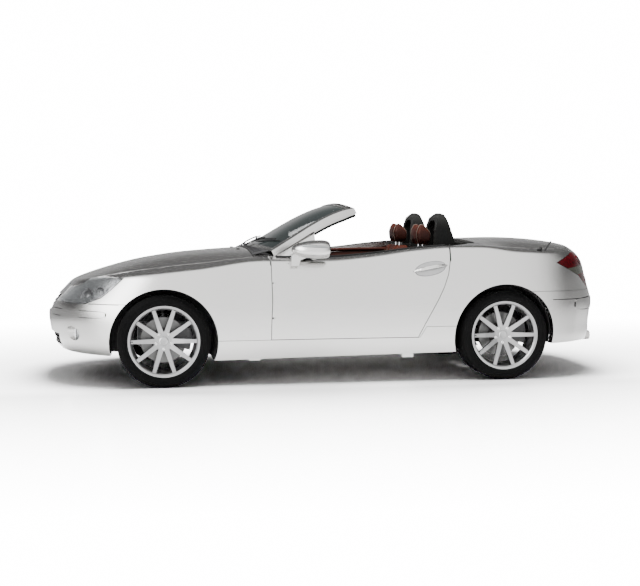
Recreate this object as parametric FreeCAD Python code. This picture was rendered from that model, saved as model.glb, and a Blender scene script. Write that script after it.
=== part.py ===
import FreeCAD, Part
import math
import os

V = FreeCAD.Vector

# Driving dimensions of the whole car, in millimetres. +X is forward, +Y left, +Z up, the floor is Z = 0.
HALF_LENGTH = 2041.0
HALF_WIDTH = 894.0
FRONT_AXLE_X = 1230.0
REAR_AXLE_X = -1200.0

# Wheels and tyres
TYRE_R = 318.6
TYRE_SHOULDER = 16.0
RIM_R = 233.0
RIM_LIP = 13.0
RIM_LIP_T = 6.0
FRONT_TRACK_HALF = 765.0
REAR_TRACK_HALF = 756.0
FRONT_TYRE_WIDTH = 225.0
REAR_TYRE_WIDTH = 245.0
RIM_WIDTH = 205.0
SPOKES = 10
SPOKE_ROOT_W = 34.0
SPOKE_TIP_W = 24.0
SPOKE_DEPTH = 26.0
HUB_R = 70.0
HUB_FACE_OUT = 62.0
WHEEL_BOLTS = 5
BOLT_CIRCLE_R = 56.0
BOLT_HOLE_R = 7.5
DISC_R = 160.0
DISC_T = 24.0
DISC_BACK_IN = 45.0
KINGPIN_Y = 700.0
STEER_LIMIT = 35.0

# Gaps: round a panel that moves, between fixed panels, and where one piece rests near another
OPEN_GAP = 5.0
PANEL_GAP = 3.0
SEAT_GAP = 0.3
PIN_GAP = 0.1

# Body shell
SIDE_WALL = 70.0
SKIN = 40.0
SHOULDER_R = 60.0
ARCH_R = 372.0
FRONT_ARCH_Z = 306.0
REAR_ARCH_Z = 316.0
ARCH_INNER_Y = 455.0
REAR_ARCH_INNER_Y = 585.0
LINER_T = 5.0
CROWN_REF_Y = 800.0
CROWN_POWER = 2.4
BODY_BASE = 120.0
BODY_TOP = 1100.0

# Doors
DOOR_FRONT_X = 486.0
DOOR_HINGE_Y = 862.0
DOOR_HINGE_BACK = 20.0
DOOR_BOTTOM = 318.0
DOOR_SWING_GAP = 10.0

# Lids
BONNET_REAR_X = 600.0
LID_FRONT_X = -1060.0
LID_NOSE_R = 12.0
BONNET_HINGE_Y = 200.0
LID_HINGE_Y = 250.0

# Pin hinges
HINGE_LENGTH = 70.0
HINGE_PIN_R = 3.0
HINGE_EYE_R = 6.0
HINGE_LUG_W = 8.0
DOOR_HINGES_Z = (500.0, 680.0)

# Windscreen: the middle of its base and top edges, and how its sides lie from there
SCREEN_BASE = (557.0, 944.0)
SCREEN_TOP = (-112.0, 1266.0)
SCREEN_BASE_HALF = 706.0
SCREEN_TOP_HALF = 580.0
SCREEN_BASE_BOW = 92.0
SCREEN_TOP_BOW = 42.0
SCREEN_BASE_DROP = 20.0
SCREEN_TOP_DROP = 42.0
SCREEN_BULGE = 40.0
SCREEN_NORMAL = (0.434, 0.0, 0.901)
FRAME_OUT = 6.0
FRAME_IN = 36.0
FRAME_SIDE_SHARE = 0.045
FRAME_BASE_SHARE = 0.05
FRAME_TOP_SHARE = 0.08
GLASS_T = 6.0

# Cabin
CABIN_HALF = 700.0
COCKPIT_HALF = 722.0
COCKPIT_REAR_X = -985.0
COCKPIT_FRONT_X = 560.0
FLOOR_TOP = 205.0
TUNNEL_HALF = 120.0
FLOOR_T = 15.0
TUNNEL_TOP = 330.0
BULKHEAD_X = 565.0
BULKHEAD_T = 20.0
REAR_WALL_X = -1010.0
SHELF_FRONT_X = -775.0
SHELF_TOP = 915.0
SEAT_Y = 360.0
SEAT_WIDTH = 500.0
CUSHION_BASE = 330.0
CUSHION_TOP = 430.0
BACK_TOP = 958.0
HEADREST_TOP = 1121.0
HOOP_TOP = 1195.0
HOOP_HALF = 150.0
WHEEL_CENTRE = (20.0, 360.0, 800.0)
STEERING_WHEEL_R = 185.0
STEERING_TILT = 25.0

# Door mirrors: x, half width and half height of each ring from the glass side to the front
MIRROR_Y = 905.0
MIRROR_Z = 945.0
MIRROR_RINGS = [(100, 84, 56), (125, 92, 63), (200, 94, 64), (280, 78, 52), (335, 46, 30), (356, 14, 9)]

# Underneath
RAIL_IN = 370.0
RAIL_OUT = 430.0
RAIL_LOW = 420.0
RAIL_HIGH = 500.0
RAIL_END_X = 1840.0
BEAM_BACK_X = 1790.0
ARM_LOW = 205.0
ARM_T = 30.0
PIN_R = 8.0
KINGPIN_EYE_R = 14.0
DIFF_HALF = 100.0
TUB_FLOOR = 440.0
TUB_T = 15.0
TUB_TOP = 800.0
TUB_REAR_X = -1880.0
TAILPIPE_Y = 500.0
TAILPIPE_Z = 272.0
TAILPIPE_R = 34.0
TAILPIPE_BORE_R = 30.0
PLATE_HOLE_HALF = 145.0
PLATE_HOLE_R = 3.0
PLATE_Z = 500.0
JACK_PAD_Z = 168.0


def smooth(points):
    """Value along x through the given (x, value) pairs, a cubic between each two."""
    pairs = sorted(points)
    xs = [p[0] for p in pairs]
    vs = [p[1] for p in pairs]
    last = len(pairs) - 1
    slopes = []
    for i in range(last + 1):
        a, b = max(i - 1, 0), min(i + 1, last)
        slopes.append((vs[b] - vs[a]) / (xs[b] - xs[a]))

    def value(x):
        x = min(max(x, xs[0]), xs[-1])
        i = 0
        while i < last - 1 and x > xs[i + 1]:
            i += 1
        h = xs[i + 1] - xs[i]
        t = (x - xs[i]) / h
        start = (2 * t ** 3 - 3 * t ** 2 + 1) * vs[i] + (t ** 3 - 2 * t ** 2 + t) * h * slopes[i]
        end = (3 * t ** 2 - 2 * t ** 3) * vs[i + 1] + (t ** 3 - t ** 2) * h * slopes[i + 1]
        return start + end

    return value


# Plan of the widest level, from the middle of the tail to the middle of the nose
PLAN = [
    (-2041, 0), (-2034, 230), (-2008, 440), (-1935, 630), (-1820, 770), (-1650, 855), (-1430, 888),
    (-1200, 894), (-800, 885), (-300, 876), (200, 874), (700, 880), (1230, 886), (1450, 862),
    (1620, 805), (1760, 715), (1880, 590), (1965, 430), (2020, 230), (2041, 0),
]
# How far the nose, the tail and the sides reach at each height, as a share of the widest level
NOSE_SHARE = smooth([
    (120, 0.925), (176, 0.945), (300, 0.985), (460, 1.0), (550, 0.988), (600, 0.966), (660, 0.94),
    (720, 0.912), (800, 0.87), (900, 0.81), (1100, 0.70),
])
TAIL_SHARE = smooth([
    (120, 0.975), (250, 0.985), (350, 0.994), (560, 1.0), (620, 0.996), (660, 0.984), (830, 0.966),
    (890, 0.945), (930, 0.925), (1000, 0.87), (1100, 0.80),
])
WIDTH_SHARE = smooth([
    (120, 0.90), (176, 0.925), (300, 0.965), (450, 0.99), (580, 1.0), (700, 0.993), (800, 0.972),
    (900, 0.925), (1000, 0.85), (1100, 0.76),
])
LEVELS = [BODY_BASE, 230, 360, 460, 560, 640, 740, 840, 930, 1020, BODY_TOP]
# Height of the top along the middle, and how far it falls at CROWN_REF_Y
CENTRE_Z = smooth([
    (-2200, 860), (-2041, 900), (-1900, 948), (-1779, 976), (-1612, 997), (-1364, 1006), (-1037, 994),
    (-500, 975), (0, 955), (350, 946), (618, 937), (922, 918), (1110, 900), (1297, 872), (1446, 842),
    (1668, 780), (1830, 722), (1963, 655), (2041, 600), (2200, 480),
])
CROWN_DROP = smooth([
    (-2200, 60), (-1900, 80), (-1600, 95), (-1300, 80), (-1112, 45), (-847, 30), (-686, 33),
    (-437, 50), (-292, 65), (25, 82), (300, 76), (622, 66), (970, 86), (1316, 82), (1590, 70),
    (1900, 60), (2200, 60),
])
TOP_STATIONS = 29
TOP_LINES = 13
# Underside, from the nose to the tail
UNDERSIDE = [(2200, 228), (1601, 212), (857, 176), (-812, 203), (-1580, 251), (-2200, 268)]


def top_z(x, y):
    """Height of the body's top surface before its shoulder is rounded."""
    return CENTRE_Z(x) - CROWN_DROP(x) * (abs(y) / CROWN_REF_Y) ** CROWN_POWER


def plan_points(z, inset):
    """Closed plan outline of the body at height z, drawn in by inset."""
    nose = NOSE_SHARE(z) * (1 - inset / HALF_LENGTH)
    tail = TAIL_SHARE(z) * (1 - inset / HALF_LENGTH)
    side = WIDTH_SHARE(z) * (1 - inset / HALF_WIDTH)
    half = [(x * (nose if x > 0 else tail), y * side) for x, y in PLAN]
    left = [V(x, y, z) for x, y in half]
    right = [V(x, -y, z) for x, y in reversed(half[1:-1])]
    return left + right


def ring_parameters(points):
    """One parameter a point from the ring's chord lengths, the last for the point that closes it."""
    found = [0.0]
    for a, b in zip(points, points[1:] + points[:1]):
        found.append(found[-1] + (b - a).Length)
    return found


def envelope(inset, sink):
    """Solid of the whole body, its sides drawn in by inset and its top lowered by sink."""
    rings = []
    parameters = ring_parameters(plan_points(LEVELS[0], inset))
    for z in LEVELS:
        curve = Part.BSplineCurve()
        curve.interpolate(Points=plan_points(z, inset), PeriodicFlag=True, Parameters=parameters)
        rings.append(Part.Wire([curve.toShape()]))
    sides = Part.makeLoft(rings, True, False)
    reach = HALF_LENGTH + 160
    wide = HALF_WIDTH + 110
    rows = []
    for i in range(TOP_STATIONS):
        x = -reach + 2 * reach * i / (TOP_STATIONS - 1)
        ys = [-wide + 2 * wide * j / (TOP_LINES - 1) for j in range(TOP_LINES)]
        rows.append([V(x, y, top_z(x, y) - sink) for y in ys])
    surface = Part.BSplineSurface()
    surface.interpolate(rows)
    return sides.common(surface.toShape().extrude(V(0, 0, -BODY_TOP)))


def box(x0, x1, y0, y1, z0, z1):
    """Box between two corners."""
    return Part.makeBox(x1 - x0, y1 - y0, z1 - z0, V(x0, y0, z0))


def prism_y(points, y0, y1):
    """Prism across the car from a side outline of (x, z) points."""
    ring = [V(x, y0, z) for x, z in points]
    face = Part.Face(Part.makePolygon(ring + ring[:1]))
    return face.extrude(V(0, y1 - y0, 0))


def prism_z(points, z0, z1):
    """Upright prism from a plan outline of (x, y) points."""
    ring = [V(x, y, z0) for x, y in points]
    face = Part.Face(Part.makePolygon(ring + ring[:1]))
    return face.extrude(V(0, 0, z1 - z0))


def prism_x(points, x0, x1):
    """Prism along the car from a front outline of (y, z) points."""
    ring = [V(x0, y, z) for y, z in points]
    face = Part.Face(Part.makePolygon(ring + ring[:1]))
    return face.extrude(V(x1 - x0, 0, 0))


def rod(start, end, radius):
    """Round bar between two points."""
    a, b = V(*start), V(*end)
    return Part.makeCylinder(radius, (b - a).Length, a, b - a)


def cyl_y(x, z, radius, y0, y1):
    """Cylinder across the car."""
    return Part.makeCylinder(radius, y1 - y0, V(x, y0, z), V(0, 1, 0))


def grown(points, gap):
    """The same outline, each corner moved out by gap, whichever way round it runs."""
    turn = sum(a[0] * b[1] - b[0] * a[1] for a, b in zip(points, points[1:] + points[:1]))
    side = 1 if turn > 0 else -1
    moved = []
    for i, (x, y) in enumerate(points):
        px, py = points[i - 1]
        nx, ny = points[(i + 1) % len(points)]
        a = math.hypot(x - px, y - py)
        b = math.hypot(nx - x, ny - y)
        ax, ay = (y - py) / a * side, -(x - px) / a * side
        bx, by = (ny - y) / b * side, -(nx - x) / b * side
        share = gap / max(0.3, 1 + ax * bx + ay * by)
        moved.append((x + (ax + bx) * share, y + (ay + by) * share))
    return moved


def along(points, count):
    """Count points on a smooth curve through the given plane points, its ends included."""
    curve = Part.BSplineCurve()
    curve.interpolate([V(x, y, 0) for x, y in points])
    first, last = curve.FirstParameter, curve.LastParameter
    found = [curve.value(first + (last - first) * i / (count - 1)) for i in range(count)]
    return [(p.x, p.y) for p in found]


def mirrored(shape):
    """The same shape on the car's other side."""
    return shape.mirror(V(0, 0, 0), V(0, 1, 0))


def both_sides(shape):
    """A shape and its mirror image as one compound."""
    return Part.makeCompound([shape, mirrored(shape)])


def solids_of(shape, least=1000.0):
    """The shape's solids as one clean compound, without slivers under the least volume."""
    kept = [s for s in shape.Solids if s.Volume > least]
    return kept[0] if len(kept) == 1 else Part.makeCompound(kept)


def save(name, shape):
    """Write one node."""
    shape.exportStep("parts/" + name + ".step")


def rounded(shape, radius, pick):
    """Fillet the edges that pick chooses."""
    return shape.makeFillet(radius, [e for e in shape.Edges if pick(e)])


# Body regions
def below_underside():
    """Everything under the body's lower line."""
    low = [(UNDERSIDE[0][0], 0), (UNDERSIDE[-1][0], 0)]
    return prism_y(UNDERSIDE + low[::-1], -1000, 1000)


def arches(grow=0.0):
    """Wheel arch cylinders through both sides."""
    front = cyl_y(FRONT_AXLE_X, FRONT_ARCH_Z, ARCH_R + grow, -1000, 1000)
    rear = cyl_y(REAR_AXLE_X, REAR_ARCH_Z, ARCH_R + grow, -1000, 1000)
    return front.fuse(rear)


BONNET_SIDE = [
    (BONNET_REAR_X, 716), (900, 716), (1150, 706), (1316, 692), (1480, 655), (1610, 600), (1730, 500),
    (1820, 380), (1872, 220), (1888, 0),
]
BONNET_LINE_POINTS = 15


def bonnet_outline():
    """Plan outline of the bonnet."""
    left = along(BONNET_SIDE, BONNET_LINE_POINTS)
    return left + [(x, -y) for x, y in reversed(left[:-1])]


LID_SIDE = [(-1400, 708), (-1640, 672), (-1740, 610), (-1790, 520), (-1800, 468)]


def lid_outline():
    """Plan outline of the boot lid."""
    left = [(LID_FRONT_X, 700)] + LID_SIDE + [(-2200, 455)]
    return left + [(x, -y) for x, y in reversed(left)]


LID_BOTTOM = 652.0
DOOR_REAR = [(-560, DOOR_BOTTOM), (-610, 420), (-690, 570), (-755, 710), (-790, 840), (-800, 960), (-800, 1060)]


def door_outline(gap=0.0):
    """Side outline of the door."""
    rear = along(DOOR_REAR, 9)
    points = [(DOOR_FRONT_X, 1060), (DOOR_FRONT_X, DOOR_BOTTOM)] + rear
    return grown(points, gap) if gap else points


def door_region(gap=0.0):
    """Space of the left door, its front edge round the hinge outside the hinge line."""
    whole = prism_y(door_outline(gap), COCKPIT_HALF - gap, 1000)
    hinge_x = DOOR_FRONT_X - DOOR_HINGE_BACK
    outside = box(hinge_x, DOOR_FRONT_X + 50, DOOR_HINGE_Y, 1001, 200, 1100)
    nose = Part.makeCylinder(DOOR_HINGE_BACK + gap, 1000, V(hinge_x, DOOR_HINGE_Y, 200))
    return whole.cut(outside.cut(nose))


HEADLAMP = [(1500, 748), (1560, 690), (1650, 616), (1760, 574), (1990, 574), (1990, 640), (1800, 690), (1690, 760)]
TAIL_LAMP = [(-1606, 836), (-1690, 872), (-1775, 906), (-2060, 900), (-2080, 655), (-1893, 655), (-1800, 740)]
BUMPER_TOP = 572.0
REAR_BUMPER_TOP = 632.0
GRILLE_HALF = 285.0
LAMP_LIP = 25.0
NOSE_HALF = 600.0
FOG_R = 50.0
FOG_Y = 600.0
FOG_Z = 363.0
JACK_X = (600.0, -500.0)


def pin_hinge(direction, reach, slot):
    """Pin hinge along the Y axis at the origin, its panel on one side and its arms on the other.

    direction is the arms' angle in degrees above +X and reach their length. slot is the space, as
    low and high corners (x, z), that the arms need in the panel. Returns the lugs with their pin,
    and the space to cut from the panel.
    """
    half = HINGE_LENGTH / 2
    fixed = cyl_y(0, 0, HINGE_PIN_R, -half, half)
    space = cyl_y(0, 0, HINGE_PIN_R + PIN_GAP, -half - 1, half + 1)
    (x0, z0), (x1, z1) = slot
    for y in (-half, half - HINGE_LUG_W):
        arm = box(0, reach, y, y + HINGE_LUG_W, -HINGE_EYE_R + 1, HINGE_EYE_R - 1)
        arm = arm.rotated(V(0, 0, 0), V(0, -1, 0), direction)
        fixed = fixed.fuse(arm).fuse(cyl_y(0, 0, HINGE_EYE_R, y, y + HINGE_LUG_W))
        space = space.fuse(cyl_y(0, 0, HINGE_EYE_R + 1.5, y - 1, y + HINGE_LUG_W + 1))
        space = space.fuse(box(x0, x1, y - 1, y + HINGE_LUG_W + 1, z0, z1))
    return fixed, space


def lid_corner(axis_x, axis_z, forward):
    """What a lid loses so that its hinge edge is round about its axis. forward is +1 or -1."""
    low, high = sorted((axis_x, axis_x + forward * (LID_NOSE_R + 5)))
    corner = box(low, high, -900, 900, axis_z, axis_z + 60)
    return corner.cut(cyl_y(axis_x, axis_z, LID_NOSE_R, -901, 901))


def lid_hinges(axis_x, axis_z, forward, hinge_y):
    """Both hinges of a lid whose hinge edge faces forward (+1) or back (-1): fixed part and space."""
    slot = ((-22, -26), (0, HINGE_EYE_R + 3.5)) if forward < 0 else ((-2, -28), (22, HINGE_EYE_R + 3))
    fixed, space = pin_hinge(215 if forward < 0 else -50, 36, slot)
    parts = []
    for shape in (fixed, space):
        left = placed(shape, (axis_x, hinge_y, axis_z))
        parts.append(left.fuse(placed(shape, (axis_x, -hinge_y, axis_z))))
    return parts


def door_hinges():
    """Both hinges of the left door: fixed part and space."""
    fixed, space = pin_hinge(-62, 56, ((-4, -56), (30, HINGE_EYE_R + 1.5)))
    parts = []
    for shape in (fixed, space):
        pair = None
        for z in DOOR_HINGES_Z:
            turned = shape.rotated(V(0, 0, 0), V(1, 0, 0), -90)
            turned.translate(V(DOOR_FRONT_X - DOOR_HINGE_BACK, DOOR_HINGE_Y, z))
            pair = turned if pair is None else pair.fuse(turned)
        parts.append(pair)
    return parts


def placed(shape, place, rotation=None):
    """A moved and turned copy."""
    copy = shape.copy()
    copy.Placement = FreeCAD.Placement(V(*place), rotation or FreeCAD.Rotation())
    return copy


# Wheels
def revolve_y(points, axis_x, axis_z):
    """Ring about a cross axis from (radius, y) points."""
    ring = [V(axis_x + r, y, axis_z) for r, y in points]
    face = Part.Face(Part.makePolygon(ring + ring[:1]))
    return face.revolve(V(axis_x, 0, axis_z), V(0, 1, 0), 360)


def tyre(width):
    """Tyre about the Y axis at the origin: tread, chamfered shoulders, bulged walls and bead."""
    w = width / 2
    bead = RIM_WIDTH / 2 + 2 - RIM_LIP_T
    seat_r = RIM_R + RIM_LIP + SEAT_GAP
    profile = [
        (RIM_R + SEAT_GAP, -bead), (RIM_R + SEAT_GAP, bead), (seat_r, bead), (RIM_R + 36, w), (TYRE_R - 30, w),
        (TYRE_R - 5, w - TYRE_SHOULDER), (TYRE_R, w - 2 * TYRE_SHOULDER),
        (TYRE_R, 2 * TYRE_SHOULDER - w), (TYRE_R - 5, TYRE_SHOULDER - w), (TYRE_R - 30, -w), (RIM_R + 36, -w),
        (seat_r, -bead),
    ]
    return revolve_y(profile, 0, 0)


def rim():
    """Ten spoke rim about the Y axis at the origin, its face towards +Y."""
    half = RIM_WIDTH / 2 + 2
    lip = RIM_R + RIM_LIP
    barrel = [
        (lip, half), (lip, half - RIM_LIP_T), (RIM_R, half - RIM_LIP_T), (RIM_R, 30), (RIM_R - 16, 10),
        (RIM_R - 16, -40), (RIM_R, -70), (RIM_R, RIM_LIP_T - half), (lip, RIM_LIP_T - half), (lip, -half),
        (RIM_R - 2, -half), (RIM_R - 8, 8 - half), (RIM_R - 8, -66), (RIM_R - 24, -36), (RIM_R - 24, 20),
        (RIM_R - 10, 60), (RIM_R - 10, half - 9), (RIM_R - 2, half),
    ]
    body = revolve_y(barrel, 0, 0)
    hub = [(32, 22), (HUB_R, 22), (HUB_R + 4, 40), (HUB_R - 4, HUB_FACE_OUT), (32, HUB_FACE_OUT - 2)]
    body = body.fuse(revolve_y(hub, 0, 0))
    hub_end = HUB_R - 12
    rim_end = RIM_R - 6
    side = [(hub_end, 40), (hub_end, HUB_FACE_OUT), (140, 80), (rim_end, 92), (rim_end, 92 - SPOKE_DEPTH), (140, 50)]
    plan_root, plan_tip = SPOKE_ROOT_W / 2, SPOKE_TIP_W / 2
    face = Part.Face(Part.makePolygon([V(r, y, -30) for r, y in side + side[:1]]))
    spoke = face.extrude(V(0, 0, 60))
    plan = [(hub_end - 1, -plan_root), (rim_end + 1, -plan_tip), (rim_end + 1, plan_tip), (hub_end - 1, plan_root)]
    trim = Part.Face(Part.makePolygon([V(r, -150, z) for r, z in plan + plan[:1]])).extrude(V(0, 300, 0))
    spoke = spoke.common(trim)
    spokes = [spoke.rotated(V(0, 0, 0), V(0, 1, 0), 360 / SPOKES * i) for i in range(SPOKES)]
    hole = cyl_y(BOLT_CIRCLE_R, 0, BOLT_HOLE_R, -150, 150)
    holes = [hole.rotated(V(0, 0, 0), V(0, 1, 0), 360 / WHEEL_BOLTS * i + 18) for i in range(WHEEL_BOLTS)]
    return body.fuse(spokes).cut(holes)


def hub_disc(shaft_in):
    """Brake disc with its bell and stub, and a drive shaft where shaft_in is more than nothing."""
    seat = 22 - SEAT_GAP
    disc = cyl_y(0, 0, DISC_R, -DISC_BACK_IN, -DISC_BACK_IN + DISC_T)
    bell = cyl_y(0, 0, 78, -DISC_BACK_IN, seat)
    stub = cyl_y(0, 0, 31, 10, HUB_FACE_OUT - 6)
    shape = disc.fuse(bell).fuse(stub).fuse(cyl_y(0, 0, 24, -DISC_BACK_IN - 30, 10))
    if shaft_in:
        shape = shape.fuse(cyl_y(0, 0, 15, -shaft_in, -DISC_BACK_IN - 20))
    return shape


def upright():
    """Hub carrier at the origin of its wheel: bearing ring, upper and lower ends, brake caliper."""
    back = -DISC_BACK_IN - 5
    bore = cyl_y(0, 0, 24 + PIN_GAP, back - 50, back + 5)
    ring = cyl_y(0, 0, 55, back - 45, back).fuse(box(-28, 28, back - 30, back - 2, -75, 150)).cut(bore)
    out = DISC_T - DISC_BACK_IN + 24
    caliper = prism_y([(-80, 55), (-150, 100), (-180, 75), (-194, 0), (-180, -70), (-80, -45)], back - 24, out)
    caliper = caliper.cut(cyl_y(0, 0, DISC_R + 6, -DISC_BACK_IN - OPEN_GAP, DISC_T - DISC_BACK_IN + OPEN_GAP))
    caliper = caliper.cut(cyl_y(0, 0, 86, back, 100))
    bridge = box(-120, -30, back - 24, back - 4, -30, 30).cut(bore)
    return ring.fuse(bridge).fuse(caliper)


def at_wheel(shape, x, y_half, left):
    """Put a wheel piece, made facing +Y at the origin, on its axle."""
    if not left:
        shape = mirrored(shape)
    moved = shape.copy()
    moved.translate(V(x, y_half if left else -y_half, TYRE_R))
    return moved


def hollowed(solid, void):
    """The solid with the void taken out of its inside; the void touches no outer face."""
    return Part.makeSolid(Part.makeCompound([solid.Shells[0], void.Shells[0].reversed()]))


def screen_surface():
    """Curved surface of the windscreen, from its base to its top edge."""
    rows = []
    for t in (0.0, 0.3, 0.6, 0.8, 1.0):
        half = SCREEN_BASE_HALF + (SCREEN_TOP_HALF - SCREEN_BASE_HALF) * t
        bow = SCREEN_BASE_BOW + (SCREEN_TOP_BOW - SCREEN_BASE_BOW) * t
        drop = SCREEN_BASE_DROP + (SCREEN_TOP_DROP - SCREEN_BASE_DROP) * t
        x = SCREEN_BASE[0] + (SCREEN_TOP[0] - SCREEN_BASE[0]) * t
        z = SCREEN_BASE[1] + (SCREEN_TOP[1] - SCREEN_BASE[1]) * t + SCREEN_BULGE * 4 * t * (1 - t) * (0.3 + 1.1 * t)
        shares = (-1.0, -0.75, -0.4, 0.0, 0.4, 0.75, 1.0)
        rows.append([V(x - bow * s * s, half * s, z - drop * s * s) for s in shares])
    surface = Part.BSplineSurface()
    surface.interpolate(rows)
    return surface


def screen_patch(surface, side, low, high, outward, inward):
    """Solid over part of the screen: side, low and high are margins as shares of its size."""
    u0, u1, v0, v1 = surface.bounds()
    u, v = u1 - u0, v1 - v0
    face = surface.toShape(u0 + low * u, u1 - high * u, v0 + side * v, v1 - side * v)
    push = V(*SCREEN_NORMAL)
    face.translate(push * outward)
    return face.extrude(push * -(outward + inward))


def windscreen(body):
    """Frame and glass of the windscreen, standing on the body."""
    surface = screen_surface()
    frame = screen_patch(surface, 0.0, 0.0, 0.0, FRAME_OUT, FRAME_IN)
    margins = (FRAME_SIDE_SHARE, FRAME_BASE_SHARE, FRAME_TOP_SHARE)
    frame = frame.cut(screen_patch(surface, *margins, 90, 90)).cut(body)
    glass = screen_patch(surface, *margins, 0, GLASS_T).cut(body)
    return solids_of(frame), solids_of(glass)


def lamp(panel, deep, outline, inner_y):
    """Left lamp in a panel: its lens with a joint round it, and a flange behind that seats it."""
    lens = panel.common(prism_y(outline, inner_y, 1000))
    around = grown(outline, PANEL_GAP - SEAT_GAP)
    flange = panel.common(prism_y(around, inner_y - PANEL_GAP + SEAT_GAP, 1000)).common(deep)
    return solids_of(lens.fuse(flange))


def across(edge):
    """True for a long edge that runs across the car."""
    return edge.BoundBox.YLength > 100 and edge.BoundBox.XLength < 1 and edge.BoundBox.ZLength < 1


def seat(y):
    """Cushion, backrest and headrest of the seat whose middle plane is y."""
    half = SEAT_WIDTH / 2
    top, seam = CUSHION_TOP, CUSHION_TOP + SEAT_GAP
    cushion = prism_y([(-10, CUSHION_BASE), (20, top - 40), (-20, top + 5), (-300, top - 12), (-420, top),
                       (-560, top), (-560, CUSHION_BASE)], y - half, y + half)
    back = prism_y([(-440, seam), (-560, 640), (-640, BACK_TOP), (-770, BACK_TOP), (-672, 560), (-600, seam)],
                   y - half + 6, y + half - 6)
    head = prism_y([(-656, BACK_TOP + SEAT_GAP), (-642, 1050), (-664, HEADREST_TOP - 14), (-700, HEADREST_TOP),
                    (-745, HEADREST_TOP - 20), (-766, 1020), (-752, BACK_TOP + SEAT_GAP)], y - 125, y + 125)
    return rounded(cushion, 12, across), rounded(back, 12, across), rounded(head, 12, across)


def roll_hoop(y):
    """Roll hoop behind one seat: a leaning arch with an open middle."""
    side = prism_y([(-772, SHELF_TOP), (-778, 1068), (-800, 1160), (-836, HOOP_TOP), (-858, 1184),
                    (-918, 1007), (-940, SHELF_TOP)], y - HOOP_HALF, y + HOOP_HALF)
    span, bend = HOOP_HALF, 110.0
    front = box(-1000, -700, y - span, y + span, SHELF_TOP, HOOP_TOP + 1)
    front = rounded(front, bend, lambda e: e.BoundBox.ZMin > HOOP_TOP and e.BoundBox.XLength > 100)
    span, bend = HOOP_HALF - 48, 70.0
    hole = box(-1000, -700, y - span, y + span, SHELF_TOP + 30, HOOP_TOP - 55)
    hole = rounded(hole, bend, lambda e: e.BoundBox.ZMin > HOOP_TOP - 60 and e.BoundBox.XLength > 100)
    return side.common(front).cut(hole)


def steering_wheel():
    """Rim, three spokes and boss about the +Z axis at the origin."""
    rim_r, grip = STEERING_WHEEL_R, 15.0
    shape = Part.makeTorus(rim_r, grip).fuse(Part.makeCylinder(58, 44, V(0, 0, -34)))
    shape = shape.fuse(Part.makeCylinder(22, 60, V(0, 0, -80)))
    for angle in (0, 180, 270):
        spoke = box(40, rim_r, -17, 17, -14, 2)
        shape = shape.fuse(spoke.rotated(V(0, 0, 0), V(0, 0, 1), angle))
    return shape


def steering_place(shape):
    """Turn a piece from the +Z axis to the steering column and put it at the wheel."""
    turned = shape.rotated(V(0, 0, 0), V(0, 0, 1), 90)
    turned = turned.rotated(V(0, 0, 0), V(0, 1, 0), STEERING_TILT - 90)
    turned.translate(V(*WHEEL_CENTRE))
    return turned


def mirror_housing():
    """Left door mirror: shell with a flat side towards the rear, on its foot."""
    rings = []
    for x, wide, high in MIRROR_RINGS:
        curve = Part.BSplineCurve()
        ring = [V(x, MIRROR_Y + wide * math.cos(math.radians(a)), MIRROR_Z + high * math.sin(math.radians(a)))
                for a in range(0, 360, 45)]
        curve.interpolate(Points=ring, PeriodicFlag=True, Parameters=list(range(len(ring) + 1)))
        rings.append(Part.Wire([curve.toShape()]))
    shell = Part.makeLoft(rings, True, False)
    foot = prism_y([(352, 830), (352, 900), (300, 928), (190, 928), (180, 912), (290, 870), (300, 830)], 752, 880)
    return shell.fuse(foot)


def pipe_run(points, radius):
    """Round bar along several points."""
    shape = rod(points[0], points[1], radius)
    for a, b in zip(points[1:], points[2:]):
        shape = shape.fuse(Part.makeSphere(radius, V(*a))).fuse(rod(a, b, radius))
    return shape


def liner(x, z, inner_y, hole_r, hole_z, fill):
    """Left arch liner: an open drum with a wall on its inner side."""
    drum = cyl_y(x, z, ARCH_R, inner_y, 1000).cut(cyl_y(x, z, ARCH_R - LINER_T, inner_y + LINER_T, 1001))
    drum = drum.cut(cyl_y(x, hole_z, hole_r, inner_y - 1, inner_y + LINER_T + 1))
    return drum.common(fill).cut(below_underside())


def front_suspension():
    """Left wishbones and strut of a front wheel, with half of the crossmember."""
    x, low, high = FRONT_AXLE_X, ARM_LOW, ARM_LOW + ARM_T
    cross = box(x - 50, x + 60, 0, RAIL_OUT, low - 10, low + 40)
    cross = cross.fuse(box(x - 30, x + 40, RAIL_IN + 5, RAIL_OUT - 5, low, RAIL_LOW))
    eye = KINGPIN_EYE_R
    arm = prism_z([(x - 120, RAIL_OUT - 10), (x + 120, RAIL_OUT - 10), (x + 30, 640), (x + eye, KINGPIN_Y),
                   (x - eye, KINGPIN_Y), (x - 30, 640)], low, high)
    arm = arm.fuse(Part.makeCylinder(eye, ARM_T, V(x, KINGPIN_Y, low)))
    pin = Part.makeCylinder(PIN_R, 62, V(x, KINGPIN_Y, low))
    top = TYRE_R + 158
    upper = Part.makeCylinder(eye, 24, V(x, KINGPIN_Y, top))
    for side in (-110, 110):
        upper = upper.fuse(rod((x + side, RAIL_OUT - 2, top + 12), (x, KINGPIN_Y, top + 12), 9))
    upper = upper.fuse(Part.makeCylinder(PIN_R, 32, V(x, KINGPIN_Y, top - 30)))
    strut = rod((x, 566, high - 2), (x, 566, 560), 16).fuse(rod((x, 566, 330), (x, 566, 540), 34))
    tower = box(x - 45, x + 45, RAIL_OUT, 610, 560, 585).fuse(box(x - 45, x + 45, RAIL_OUT, RAIL_OUT + 20, 440, 585))
    return cross.fuse([arm, pin, upper, strut, tower])


def front_knuckle():
    """Left steered hub carrier at the origin of its wheel."""
    ring = upright()
    kingpin = KINGPIN_Y - FRONT_TRACK_HALF
    for z in (-150, 120):
        ring = ring.cut(Part.makeCylinder(PIN_R + PIN_GAP, 110, V(0, kingpin, z)))
    return ring


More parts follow.
